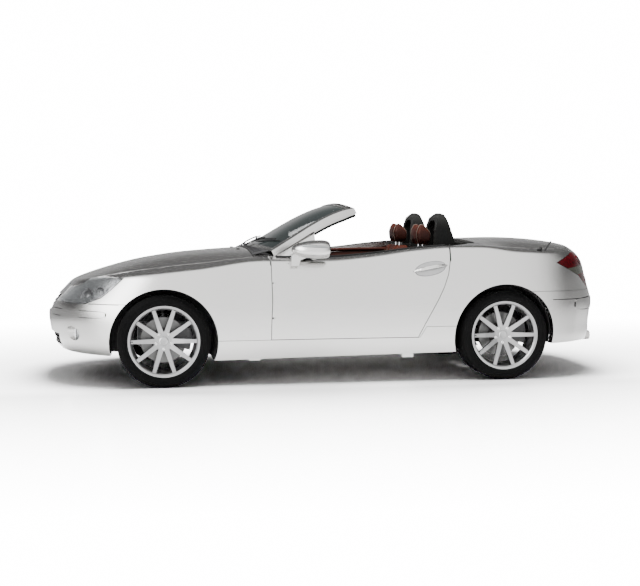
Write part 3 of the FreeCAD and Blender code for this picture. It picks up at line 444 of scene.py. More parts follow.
@dataclass(frozen=True)
class Faceted:
    """Bright faceted reflector."""

    name: str
    colour: Colour = (0.30, 0.305, 0.31)
    shade: Colour = (0.12, 0.122, 0.125)

    def material(self) -> Any:
        """Build it."""
        s = Shader(self.name)
        place = s.place()
        cells = s.edges(place, 55.0)
        broad = s.noise(place, 6.0)
        s.link("Base Color", s.mix(broad.step(0.35, 0.65), self.shade, self.colour))
        s.link("Roughness", 0.16 + broad * 0.1)
        s.bump(cells.step(0.0, 0.3), 0.3, 0.002)
        s.fixed(Metallic=0.9)
        return s.material


@dataclass(frozen=True)
class BrakeIron:
    """Turned disc face with fine rings round the axle."""

    name: str
    axle: Point

    def material(self) -> Any:
        """Build it."""
        s = Shader(self.name)
        x, _, z = s.axes(s.place())
        dx, dz = x - self.axle[0], z - self.axle[2]
        r = (dx * dx + dz * dz).sqrt()
        rings = (r * 4200.0).sin()
        swept = (r > 0.085) * (r < 0.157)
        broad = s.noise(s.place(), 30.0, 3.0)
        s.link("Base Color", s.mix(swept, (0.05, 0.049, 0.048), (0.095, 0.095, 0.094)))
        s.link("Roughness", 0.5 - swept * 0.2 + broad * 0.1)
        s.fixed(Metallic=0.9)
        s.bump(rings, 0.12, 0.0002)
        return s.material


def node(name: str) -> Any:
    """The CAD node of that name."""
    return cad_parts[name]


def dress(name: str, material: Any) -> None:
    """Give one CAD node a material all over."""
    mesh = node(name).data
    mesh.materials.clear()
    mesh.materials.append(material)


# Modelling
class Body(Enum):
    """Bodies that pieces ride on."""

    SHELL = "body"
    DOOR_LEFT = "door_left"
    DOOR_RIGHT = "door_right"
    BONNET = "bonnet"
    BOOT_LID = "boot_lid"
    STEERING = "steering_wheel"
    WHEEL_FRONT_LEFT = "wheel_front_left"
    WHEEL_FRONT_RIGHT = "wheel_front_right"
    WHEEL_REAR_LEFT = "wheel_rear_left"
    WHEEL_REAR_RIGHT = "wheel_rear_right"


@dataclass(frozen=True)
class Finish:
    """A built material and the record's slot it stands for."""

    material: Any
    slot: str


class Bench:
    """The operators that new pieces are made with."""

    @staticmethod
    def clear() -> None:
        """Select nothing."""
        bpy.ops.object.select_all(action="DESELECT")

    @staticmethod
    def alone(piece: Any) -> None:
        """Select one piece and make it active."""
        Bench.clear()
        piece.select_set(True)
        bpy.context.view_layer.objects.active = piece

    @staticmethod
    def named(name: str) -> Any:
        """Name the object that an operator has just made, and apply its place."""
        made = bpy.context.object
        made.name = name
        made.data.name = name
        Bench.alone(made)
        bpy.ops.object.transform_apply(location=True, rotation=True, scale=True)
        return made

    @staticmethod
    def modify(piece: Any, kind: str, **settings: Any) -> None:
        """Add a modifier and apply it."""
        made = piece.modifiers.new(kind.lower(), kind)
        for key, value in settings.items():
            setattr(made, key, value)
        Bench.alone(piece)
        bpy.ops.object.modifier_apply(modifier=made.name)

    @staticmethod
    def bevel(piece: Any, width: float, segments: int = 2) -> None:
        """Round every sharp edge."""
        Bench.modify(piece, "BEVEL", width=width, segments=segments, limit_method="ANGLE",
                     angle_limit=math.radians(35))

    @staticmethod
    def edit(piece: Any, pick: Callable[[Vector, Vector], bool], *steps: Callable[[], Any]) -> None:
        """Run edit-mode operators on chosen faces.

        Args:
            piece: the object to edit.
            pick: tells from a face's middle and normal whether it is chosen.
            steps: calls of operators, run in order.
        """
        Bench.alone(piece)
        bpy.ops.object.mode_set(mode="EDIT")
        bpy.context.tool_settings.mesh_select_mode = (False, False, True)
        bpy.ops.mesh.select_all(action="DESELECT")
        mesh = bmesh.from_edit_mesh(piece.data)
        for face in mesh.faces:
            face.select_set(bool(pick(face.calc_center_median(), face.normal)))
        bmesh.update_edit_mesh(piece.data)
        for step in steps:
            step()
        bpy.ops.object.mode_set(mode="OBJECT")

    @staticmethod
    def everything(*_: Any) -> bool:
        """Choose every face."""
        return True

    @staticmethod
    def block(name: str, low: Point, high: Point, bevel: float = 0.0, segments: int = 2) -> Any:
        """Box between two corners with rounded edges."""
        Bench.clear()
        middle = [(a + b) / 2 for a, b in zip(low, high)]
        bpy.ops.mesh.primitive_cube_add(size=1.0, location=middle, scale=[b - a for a, b in zip(low, high)])
        piece = Bench.named(name)
        if bevel:
            Bench.bevel(piece, bevel, segments)
        return piece

    @staticmethod
    def plate(name: str, outline: Sequence[Any], push: Any, bevel: float = 0.0, segments: int = 2) -> Any:
        """Flat outline extruded along push.

        Args:
            name: the piece's name.
            outline: corners of the first face.
            push: how far and which way it is extruded.
            bevel: width of the rounding, or nothing.
            segments: steps of the rounding.

        Returns:
            The closed piece.
        """
        Bench.clear()
        bpy.ops.mesh.primitive_circle_add(vertices=len(outline), radius=1.0, fill_type="NGON")
        piece = Bench.named(name)
        for vertex, place in zip(piece.data.vertices, outline):
            vertex.co = place
        Bench.edit(
            piece, Bench.everything,
            lambda: bpy.ops.mesh.extrude_region_move(TRANSFORM_OT_translate={"value": tuple(push)}),
            lambda: bpy.ops.mesh.select_all(action="SELECT"),
            lambda: bpy.ops.mesh.normals_make_consistent(inside=False),
        )
        if bevel:
            Bench.bevel(piece, bevel, segments)
        return piece

    @staticmethod
    def turned(name: str, profile: Sequence[Pair], centre: Any, axis: Any, steps: int = 32) -> Any:
        """Turned shape from (radius, height) points, closed at both ends.

        Args:
            name: the piece's name.
            profile: outline from one end to the other; a radius of nothing closes to a point.
            centre: where height nothing lies.
            axis: the way the heights run.
            steps: faces round it.

        Returns:
            The closed piece.
        """
        Bench.clear()
        radius, height = profile[0]
        bpy.ops.mesh.primitive_circle_add(vertices=steps, radius=max(radius, 1e-4), location=(0, 0, height),
                                          fill_type="NGON")
        piece = Bench.named(name)
        Bench.alone(piece)
        bpy.ops.object.mode_set(mode="EDIT")
        bpy.ops.mesh.select_all(action="SELECT")
        for (r0, z0), (r1, z1) in zip(profile, profile[1:]):
            share = max(r1, 1e-4) / max(r0, 1e-4)
            bpy.ops.mesh.extrude_region_move(TRANSFORM_OT_translate={"value": (0, 0, z1 - z0)})
            bpy.ops.transform.resize(value=(share, share, 1.0), center_override=(0, 0, z1))
        bpy.ops.mesh.select_all(action="SELECT")
        bpy.ops.mesh.remove_doubles(threshold=2e-5)
        bpy.ops.mesh.normals_make_consistent(inside=False)
        bpy.ops.object.mode_set(mode="OBJECT")
        turn = Vector((0, 0, 1)).rotation_difference(Vector(axis).normalized()).to_matrix().to_4x4()
        piece.data.transform(Matrix.Translation(Vector(centre)) @ turn)
        return piece

    @staticmethod
    def tube(name: str, points: Sequence[Any], radius: float, ring: bool = False, flat: float = 1.0,
             smooth: bool = True, sides: int = 2) -> Any:
        """Round bar along points, made a mesh.

        Args:
            name: the piece's name.
            points: where it runs.
            radius: half its thickness.
            ring: whether it closes.
            flat: share by which its height is pressed, along Z.
            smooth: whether it bends softly between the points.
            sides: fineness of its round.

        Returns:
            The piece.
        """
        Bench.clear()
        data = bpy.data.curves.new(name, "CURVE")
        data.dimensions = "3D"
        data.bevel_depth = radius
        data.bevel_resolution = sides
        data.use_fill_caps = True
        spline = data.splines.new("NURBS" if smooth else "POLY")
        spline.points.add(len(points) - 1)
        for target, place in zip(spline.points, points):
            target.co = (*place, 1.0)
        spline.use_cyclic_u = ring
        if smooth:
            spline.order_u = 3
            spline.use_endpoint_u = not ring
            spline.resolution_u = 4
        made = bpy.data.objects.new(name, data)
        bpy.context.scene.collection.objects.link(made)
        Bench.alone(made)
        bpy.ops.object.convert(target="MESH")
        piece = bpy.context.object
        piece.name = name
        if flat != 1.0:
            middle = sum((Vector(p) for p in points), Vector()) / len(points)
            shift = Matrix.Translation(middle)
            piece.data.transform(shift @ Matrix.Scale(flat, 4, (0, 0, 1)) @ shift.inverted())
        return piece

    @staticmethod
    def strap(name: str, rows: Sequence[tuple[Any, Any]], thick: float) -> Any:
        """Ribbon through pairs of edge points, with a thickness."""
        Bench.clear()
        bpy.ops.mesh.primitive_grid_add(x_subdivisions=1, y_subdivisions=len(rows) - 1, size=1.0)
        piece = Bench.named(name)
        for i, (one, other) in enumerate(rows):
            piece.data.vertices[2 * i].co = one
            piece.data.vertices[2 * i + 1].co = other
        Bench.modify(piece, "SOLIDIFY", thickness=thick, offset=0.0)
        return piece

    @staticmethod
    def joined(name: str, pieces: Sequence[Any]) -> Any:
        """Several pieces as one."""
        Bench.alone(pieces[0])
        for piece in pieces:
            piece.select_set(True)
        bpy.ops.object.join()
        made = bpy.context.object
        made.name = name
        made.data.name = name
        return made

    @staticmethod
    def copied(piece: Any, name: str, change: Matrix) -> Any:
        """A copy with its own mesh, moved by a matrix; one that mirrors is turned right side out."""
        mesh = piece.data.copy()
        mesh.transform(change)
        if change.determinant() < 0:
            mesh.flip_normals()
        made = bpy.data.objects.new(name, mesh)
        bpy.context.scene.collection.objects.link(made)
        return made

    @staticmethod
    def finish(piece: Any, look: Finish, body: Body = Body.SHELL, angle: float = 35.0) -> None:
        """Give a piece its look and its body.

        Args:
            piece: the finished mesh.
            look: the finish whose material it takes.
            body: what it rides on.
            angle: faces that meet at less than this look smooth.
        """
        piece.data.materials.clear()
        piece.data.materials.append(look.material)
        Bench.alone(piece)
        bpy.ops.object.shade_smooth_by_angle(angle=math.radians(angle))
        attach(piece, body.value)

    @staticmethod
    def both(piece: Any, look: Finish, bodies: tuple[Body, Body] = (Body.SHELL, Body.SHELL),
             angle: float = 35.0) -> tuple[Any, Any]:
        """Finish a left piece and its mirrored copy.

        Args:
            piece: the left one, named without its side.
            look: the finish whose material they take.
            bodies: what the left and the right one ride on.
            angle: faces that meet at less than this look smooth.

        Returns:
            Both pieces.
        """
        stem = piece.name
        piece.name = stem + "_left"
        pair = (piece, Bench.copied(piece, stem + "_right", MIRROR))
        for one, body in zip(pair, bodies):
            Bench.finish(one, look, body, angle)
        return pair


MIRROR = Matrix.Scale(-1.0, 4, (0, 1, 0))
DOWN = Vector((0.0, 0.0, -1.0))
FROM_LEFT: Point = (0.0, -1.0, 0.0)
ABOVE = 1.3


def shares(count: int, low: float = 0.0, high: float = 1.0) -> list[float]:
    """Even steps from low to high, both included."""
    return [low + (high - low) * i / (count - 1) for i in range(count)]


def oval(count: int, wide: float, tall: float, powers: Pair = (1.0, 1.0)) -> list[Pair]:
    """Points round an oval of two half sizes.

    Args:
        count: how many points.
        wide: half its width.
        tall: half its height.
        powers: for width and height, 1 for a plain oval and less for squarer corners.

    Returns:
        Pairs of width and height.
    """
    turns = [(math.cos(2 * math.pi * i / count), math.sin(2 * math.pi * i / count)) for i in range(count)]
    return [(wide * math.copysign(abs(c) ** powers[0], c), tall * math.copysign(abs(s) ** powers[1], s))
            for c, s in turns]


class Skin:
    """The outer face of some CAD nodes, which trim is laid on."""

    def __init__(self, *names: str) -> None:
        """Keep the nodes."""
        self.nodes = [node(name) for name in names]

    def hit(self, start: Any, aim: Any) -> tuple[Vector, Vector]:
        """Where a line first meets the nodes.

        Args:
            start: a point outside.
            aim: the way the line runs.

        Returns:
            The place and the face's normal; the start itself where nothing is met.
        """
        best: tuple[float, Vector, Vector] | None = None
        for part in self.nodes:
            found, place, normal, _ = part.ray_cast(Vector(start), Vector(aim).normalized())
            if found:
                far = (place - Vector(start)).length
                if best is None or far < best[0]:
                    best = (far, place.copy(), normal.copy())
        if best is None:
            return Vector(start), -Vector(aim).normalized()
        return best[1], best[2]

    def line(self, starts: Sequence[Any], aim: Any, lift: float) -> list[Vector]:
        """Points laid on the nodes and lifted off them."""
        laid = []
        for start in starts:
            place, normal = self.hit(start, aim)
            laid.append(place + normal * lift)
        return laid

    def patch(self, name: str, shape: Callable[[float, float], tuple[Point, Point]], thick: float,
              steps: tuple[int, int], lift: float = 0.0) -> Any:
        """Sheet laid on the nodes.

        Args:
            name: the piece's name.
            shape: gives the start point and aim for shares u and v, each from -1 to 1.
            thick: how thick it is.
            steps: squares along u and v.
            lift: how far it stands off the face.

        Returns:
            The closed piece.
        """
        Bench.clear()
        bpy.ops.mesh.primitive_grid_add(x_subdivisions=steps[0], y_subdivisions=steps[1], size=2.0)
        piece = Bench.named(name)
        outward = Vector()
        for vertex in piece.data.vertices:
            place, normal = self.hit(*shape(vertex.co.x, vertex.co.y))
            vertex.co = place + normal * (lift + thick / 2)
            outward += normal
        if sum(face.normal.dot(outward) for face in piece.data.polygons) < 0:
            piece.data.flip_normals()
        Bench.modify(piece, "SOLIDIFY", thickness=thick, offset=0.0)
        return piece


def pill(u: float, v: float, power: float = 4.0) -> Pair:
    """Shares on a rounded bar: v narrows towards both ends of u."""
    return u, v * max(0.04, (1.0 - min(1.0, abs(u)) ** power)) ** (1.0 / power)


@dataclass
class Palette:
    """Every finish that new pieces take, built once."""

    def __post_init__(self) -> None:
        """Build the materials."""
        def made(finish: Any, slot: str) -> Finish:
            """Build one finish for a slot."""
            return Finish(finish.material(), slot)

        def moulded(name: str, colour: Colour, slot: str, **sizes: float) -> Finish:
            """Build one moulded finish for a slot."""
            return made(Moulded(name, colour, **sizes), slot)
        self.paint = made(CarPaint(), "silver_paint")
        # painted shade: a grey darker than the car paint, for the plate behind each door handle that stands
        # in for a recess's shade
        self.recess_shade = moulded("handle_recess_painted_shade", (0.30, 0.30, 0.30), "silver_paint", roughness=0.3, grain=0.0,
                              metal=0.6, coat=0.8)
        self.black = moulded("black_satin", (0.007, 0.007, 0.0066), "black_gloss", roughness=0.5, grain=0.1,
                             specular=0.08)
        self.gloss = moulded("panel_gloss", (0.02, 0.02, 0.021), "black_gloss", roughness=0.15, grain=0.0,
                             coat=0.8)
        self.plastic = moulded("black_plastic", (0.013, 0.013, 0.0135), "black_plastic", roughness=0.6,
                               specular=0.2)
        self.rubber = moulded("seal_rubber", (0.009, 0.009, 0.009), "black_plastic", roughness=0.7, grain=0.5,
                              specular=0.1)
        self.groove = moulded("joint_dark", (0.004, 0.004, 0.004), "black_plastic", roughness=0.8,
                              specular=0.0)
        self.trim = moulded("trim_plastic", (0.022, 0.0215, 0.0215), "trim_plastic", roughness=0.62,
                            grain=0.4, grain_scale=420.0, specular=0.25)
        self.alloy = moulded("wheel_alloy", (0.26, 0.26, 0.262), "wheel_alloy", roughness=0.3, grain=0.0,
                             metal=0.9, coat=0.15)
        self.chrome = moulded("bright_metal", (0.75, 0.75, 0.76), "wheel_alloy", roughness=0.1, grain=0.0,
                              metal=1.0)
        self.steel = moulded("bolt_steel", (0.5, 0.5, 0.5), "steel_pipe", roughness=0.25, grain=0.1,
                             metal=1.0)
        self.mirror = moulded("mirror_face", (0.8, 0.82, 0.84), "tinted_glass", roughness=0.03, grain=0.0,
                              metal=1.0)
        self.dial = moulded("dial_face", (0.015, 0.015, 0.018), "trim_plastic", roughness=0.4)
        self.white = moulded("dial_mark", (0.75, 0.75, 0.72), "trim_plastic", roughness=0.5, grain=0.0)
        self.lens = made(Glazing("signal_lens", (0.25, 0.26, 0.26), 0.95, 0.95), "lamp_clear")
        self.bowl = moulded("lamp_bowl", (0.085, 0.086, 0.088), "lamp_clear", roughness=0.34, grain=0.0,
                            metal=0.9)
        self.reflector = made(Faceted("lamp_reflector"), "lamp_clear")
        self.red = made(TailLens(), "lamp_red")
        self.leather = made(Leather("red_leather", (0.027, 0.0065, 0.004), (0.016, 0.004, 0.0026)),
                            "red_leather")
        self.leather_dark = made(Leather("dark_leather", (0.018, 0.016, 0.015), (0.011, 0.010, 0.010)),
                                 "red_trim")
        self.piping = made(Leather("pale_piping", (0.16, 0.125, 0.105), (0.12, 0.095, 0.08), 500.0),
                           "red_leather")
        self.carpet = made(Pile("carpet_pile", (0.022, 0.021, 0.021)), "trim_plastic")
        self.mat = made(Pile("mat_pile", (0.03, 0.028, 0.028), 700.0), "trim_plastic")
        self.webbing = made(Webbing("belt_webbing", (0.02, 0.02, 0.02)), "trim_plastic")


@dataclass
class Studio:
    """Floor, soft lights and the camera of the photograph."""

    eye: Point = (1.5182, 8.7555, 1.2006)
    yaw: float = -0.1717
    pitch: float = 0.0699
    focal_px: float = 1152.55
    width_px: float = 640.0
    seen_light: float = 16.0
    near_light: float = 3.2
    rear_light: float = 0.35
    rear_band: Pair = (-0.9, -0.3)
    box_light: float = 14.0
    box_band: Pair = (0.35, 0.65)
    far_low: float = 0.55
    far_high: float = 0.10
    far_band: Pair = (0.12, 0.35)
    split_band: Pair = (0.15, 0.80)
    overhead_share: float = 0.6
    fill_light: float = 0.6
    fill_band: Pair = (0.15, 0.7)
    floor_fade: Pair = (1.3, 4.3)
    floor_stretch: float = 1.6
    lamp_place: Point = (0.0, 0.0, 6.0)
    lamp_size: float = 4.0
    lamp_power: float = 1900.0
    gloss_edge: Pair = (0.85, 1.1)

    def build(self) -> None:
        """Make it all."""
        self._camera()
        self._floor()
        self._surround()
        self._lamp()

    def _camera(self) -> None:
        """Camera at the photograph's place."""
        data = bpy.data.cameras.new("camera")
        camera = bpy.data.objects.new("camera", data)
        bpy.context.scene.collection.objects.link(camera)
        forward = Vector((math.sin(self.yaw) * math.cos(self.pitch),
                          -math.cos(self.yaw) * math.cos(self.pitch),
                          -math.sin(self.pitch)))
        camera.location = self.eye
        camera.rotation_mode = "QUATERNION"
        camera.rotation_quaternion = forward.to_track_quat("-Z", "Y")
        data.sensor_width = 36.0
        data.lens = 36.0 * self.focal_px / self.width_px
        data.clip_start, data.clip_end = 0.1, 200.0
        bpy.context.scene.camera = camera

    def _floor(self) -> None:
        """Pale glossy floor that fades into the surround."""
        Bench.clear()
        bpy.ops.mesh.primitive_plane_add(size=60.0, location=(0, 0, -0.0005))
        floor = Bench.named("studio_floor")
        s = Shader("studio_floor")
        place = s.place()
        x, y, _ = s.axes(place)
        wide = x / self.floor_stretch
        far = wide * wide + y * y
        solid = 1.0 - far.sqrt().step(*self.floor_fade)
        s.link("Roughness", 0.10 + s.noise(place, 0.7, 2.0) * 0.05)
        s.link("Alpha", solid)
        s.fixed(Base_Color=(1.0, 1.0, 1.0), Specular_IOR_Level=0.5)
        s.blend(y.step(*self.gloss_edge),
                {"Base Color": (1.0, 1.0, 1.0), "Specular IOR Level": 0.0, "Alpha": solid})
        floor.data.materials.append(s.material)

    def _surround(self) -> None:
        """White to look at. Reflections get a bright near side, a soft box in front and a dim far side.

        What has no gloss is lit from above by the lamp and a weak fill.
        """
        sky = Sky("studio")
        x, y, z = sky.axes(sky.node("ShaderNodeTexCoord", {}, {}, "Generated"))
        rear = sky.graded(x, self.rear_band, self.rear_light, self.near_light)
        near = sky.graded(x, self.box_band, rear, self.box_light)
        far = sky.graded(z, self.far_band, self.far_low, self.far_high)
        around = sky.graded(y + z * self.overhead_share, self.split_band, far, near)
        fill = sky.graded(z, self.fill_band, 0.0, self.fill_light)
        seen = sky.node("ShaderNodeLightPath", {}, {}, "Is Camera Ray")
        gloss = sky.node("ShaderNodeLightPath", {}, {}, "Is Glossy Ray")
        sky.link("Strength", seen * self.seen_light + gloss * around + (1.0 - seen - gloss) * fill)
        bpy.context.scene.world = sky.world

    def _lamp(self) -> None:
        """Wide soft lamp over the car, which lights it and isn't mirrored in its paint."""
        data = bpy.data.lights.new("soft_top", "AREA")
        data.size = self.lamp_size
        data.energy = self.lamp_power
        lamp = bpy.data.objects.new("soft_top", data)
        lamp.location = self.lamp_place
        lamp.visible_glossy = False
        bpy.context.scene.collection.objects.link(lamp)


@dataclass
class Bodywork:
    """Finishes of the panels, glass and lamps."""

    painted: tuple[str, ...] = (
        "front_wings", "windscreen_frame", "quarter_panels", "floor_pan", "front_bumper", "rear_bumper",
        "bonnet", "boot_lid", "door_left", "door_right", "mirror_left", "mirror_right",
    )

    def dress(self, looks: Palette) -> None:
        """Assign the finishes."""
        for name in self.painted:
            dress(name, looks.paint.material)
        dress("roll_hoops", looks.black.material)
        dress("scuttle", ScuttlePaint("scuttle_paint").material())
        dress("windscreen_glass", Glazing("tinted_glass", (0.012, 0.015, 0.015), 0.4, 0.99).material())
        dress("front_lamps", Glazing("lamp_clear", (0.5, 0.52, 0.53), 0.12).material())
        dress("tail_lamps", looks.red.material)
        for name in ("arch_liners", "grille", "antenna"):
            dress(name, looks.plastic.material)


@dataclass
class Cabin:
    """Finishes of what is inside."""

    def dress(self, looks: Palette) -> None:
        """Assign the finishes."""
        for name in ("dashboard", "console", "seat_frames", "rear_bulkhead", "steering_wheel",
                     "front_bulkhead"):
            dress(name, looks.trim.material)
        for name in ("seat_cushions", "seat_backs", "headrests", "door_trim_left", "door_trim_right"):
            dress(name, looks.leather.material)


@dataclass
class RunningGear:
    """Finishes of the wheels and what is underneath."""

    def dress(self, looks: Palette) -> None:
        """Assign the finishes."""
        for corner, axle in AXLES.items():
            dress("rim_" + corner, looks.alloy.material)
            dress("tyre_" + corner, TyreRubber("tyre_rubber_" + corner, axle).material())
            dress("hub_" + corner, BrakeIron("disc_iron_" + corner, axle).material())
        steel = Moulded("dark_steel", (0.03, 0.03, 0.031), 0.5, 0.2, metal=0.3).material()
        for name in ("front_suspension", "rear_axle", "knuckle_front_left", "knuckle_front_right",
                     "front_rails"):
            dress(name, steel)
        dress("engine", Moulded("cast_metal", (0.2, 0.2, 0.205), 0.55, 0.6, 300.0, metal=0.7).material())
        dress("radiator", Moulded("dark_alloy", (0.06, 0.06, 0.062), 0.5, 0.3, metal=0.6).material())
        dress("exhaust", Moulded("steel_pipe", (0.42, 0.41, 0.4), 0.3, 0.1, metal=1.0).material())
        dress("boot_tub", Moulded("body_primer", (0.2, 0.2, 0.2), 0.6, 0.2).material())


@dataclass(frozen=True)
class Screen:
    """The windscreen's surface, which its seals and fittings follow."""

    base: Pair = (0.557, 0.944)
    top: Pair = (-0.112, 1.266)
    base_half: float = 0.706
    top_half: float = 0.58
    base_bow: float = 0.092
    top_bow: float = 0.042
    base_drop: float = 0.020
    top_drop: float = 0.042
    bulge: float = 0.04
    normal: Point = (0.434, 0.0, 0.901)

    def at(self, up: float, side: float, sink: float = 0.0) -> Vector:
        """A place on it: up from 0 to 1, side from -1 to 1, sunk below its face."""
        half = self.base_half + (self.top_half - self.base_half) * up
        bow = self.base_bow + (self.top_bow - self.base_bow) * up
        drop = self.base_drop + (self.top_drop - self.base_drop) * up
        x = self.base[0] + (self.top[0] - self.base[0]) * up - bow * side * side
        z = self.base[1] + (self.top[1] - self.base[1]) * up
        z += self.bulge * 4 * up * (1 - up) * (0.3 + 1.1 * up) - drop * side * side
        return Vector((x, half * side, z)) - Vector(self.normal) * sink


@dataclass
class ScreenFittings:
    """Seals, wipers, sun visors and the mirror inside."""

    screen: Screen = field(default_factory=Screen)
    seal_radius: float = 0.0085
    pillar_seal: float = 0.011
    frame_depth: float = 0.034
    trim_drop: float = 0.024
    visor_thick: float = 0.016
    blade_y: tuple[Pair, ...] = ((-0.06, 0.56), (-0.62, -0.02))

    def build(self, looks: Palette) -> None:
        """Make them all."""
        self._seal(looks)
        self._wipers(looks)
        self._visors(looks)
        self._mirror(looks)

    def _under(self, frame: Skin, up: float, side: float) -> Vector:
        """Where the frame's underside is, straight below a place of the screen."""
        start = self.screen.at(up, side, 0.25)
        return frame.hit(start, self.screen.normal)[0]

    def _seal(self, looks: Palette) -> None:
        """Painted pillar trim, the rubber that the side windows close on, and the header's black edge."""
        frame = Skin("windscreen_frame")
        rows = []
        for up in shares(15, 0.30, 0.99):
            edge = self._under(frame, up, 0.965)
            rows.append((edge - DOWN * 0.004, edge + DOWN * self.trim_drop * min(1.0, (1.0 - up) * 4 + 0.35)))
        trim = Bench.strap("pillar_trim", rows, 0.014)
        seal = Bench.tube("pillar_seal", [low + DOWN * 0.006 for _, low in rows[4:]], self.pillar_seal,
                          sides=3)
        Bench.both(trim, looks.paint)
        Bench.both(seal, looks.rubber)
        head = [self.screen.at(1.0, s / 4, self.frame_depth) - Vector((0.004, 0, 0)) for s in range(3, -4,
                                                                                                    -1)]
        Bench.finish(Bench.tube("header_seal", head, self.seal_radius), looks.rubber)
        rows = [(self.screen.at(0.955, s, -0.0055), self.screen.at(1.0, s, -0.0045))
                for s in shares(13, 0.94, -0.94)]
        band = Bench.strap("header_band", rows, 0.003)
        Bench.finish(band, looks.black)

    def _wipers(self, looks: Palette) -> None:
        """Two wipers resting on the glass."""
        glass = Skin("windscreen_glass", "windscreen_frame")
        for i, (first, last) in enumerate(self.blade_y):
            starts = [(0.492 - 0.092 * (y / 0.7) ** 2 - 0.05 * share, y, 1.4)
                      for share, y in zip(shares(9), shares(9, first, last))]
            line = glass.line(starts, DOWN, 0.009)
            rubber = Bench.tube("wiper_rubber_%d" % i, [p - Vector((0, 0, 0.004)) for p in line], 0.0035)
            holder = Bench.tube("wiper_holder_%d" % i, [p + Vector((0, 0, 0.006)) for p in line[1:-1]],
                                0.0045)
            middle = line[4] + Vector((0.0, 0.0, 0.012))
            pivot = Vector((0.575, first + 0.02, 0.0))
            pivot.z = Skin("scuttle").hit((pivot.x, pivot.y, ABOVE), DOWN)[0].z
            bend = pivot + Vector((-0.02, 0.03, 0.028))
            crown = (bend + middle) / 2 + Vector((0, 0, 0.012))
            arm = Bench.tube("wiper_arm_%d" % i, [pivot + Vector((0, 0, 0.02)), bend, crown, middle], 0.0065)
            cap = Bench.turned("wiper_cap_%d" % i,
                               [(0.017, -0.004), (0.017, 0.016), (0.012, 0.024), (0, 0.026)],
                               pivot, (0, 0, 1), 20)
            blade = Bench.joined("wiper_%d" % i, [holder, arm, cap, rubber])
            Bench.finish(blade, looks.plastic)

    def _visors(self, looks: Palette) -> None:
        """Sun visor on each side of the header."""
        at = self.screen.at
        for name, sign in (("left", 1.0), ("right", -1.0)):
            corners = [at(0.975, 0.16 * sign, 0.045), at(0.975, 0.78 * sign, 0.045),
                       at(0.80, 0.74 * sign, 0.05), at(0.80, 0.20 * sign, 0.05)]
            push = Vector(self.screen.normal) * -self.visor_thick
            visor = Bench.plate("sun_visor_" + name, corners, push, 0.006, 3)
            Bench.finish(visor, looks.trim)

    def _mirror(self, looks: Palette) -> None:
        """Rounded mirror on a stalk behind the glass."""
        centre = self.screen.at(0.86, 0.0, 0.085)
        ring = []
        for i in range(28):
            a = 2 * math.pi * i / 28
            c, s = math.cos(a), math.sin(a)
            ring.append(centre + Vector((0.006 * s, 0.122 * math.copysign(abs(c) ** 0.6, c),
                                         0.034 * math.copysign(abs(s) ** 0.75, s))))
        shell = Bench.plate("mirror_shell", ring, (0.024, 0, 0), 0.006, 3)
        stalk = Bench.tube("mirror_stalk", [centre + Vector((0.02, 0, 0.01)), self.screen.at(0.87, 0.0, 0.03),
                                            self.screen.at(0.88, 0.0, 0.006)], 0.009)
        Bench.finish(Bench.joined("inside_mirror", [shell, stalk]), looks.plastic)
        face = [centre + (p - centre) * 0.93 - Vector((0.0012, 0, 0)) for p in ring]
        Bench.finish(Bench.plate("inside_mirror_glass", face, (0.001, 0, 0)), looks.mirror)


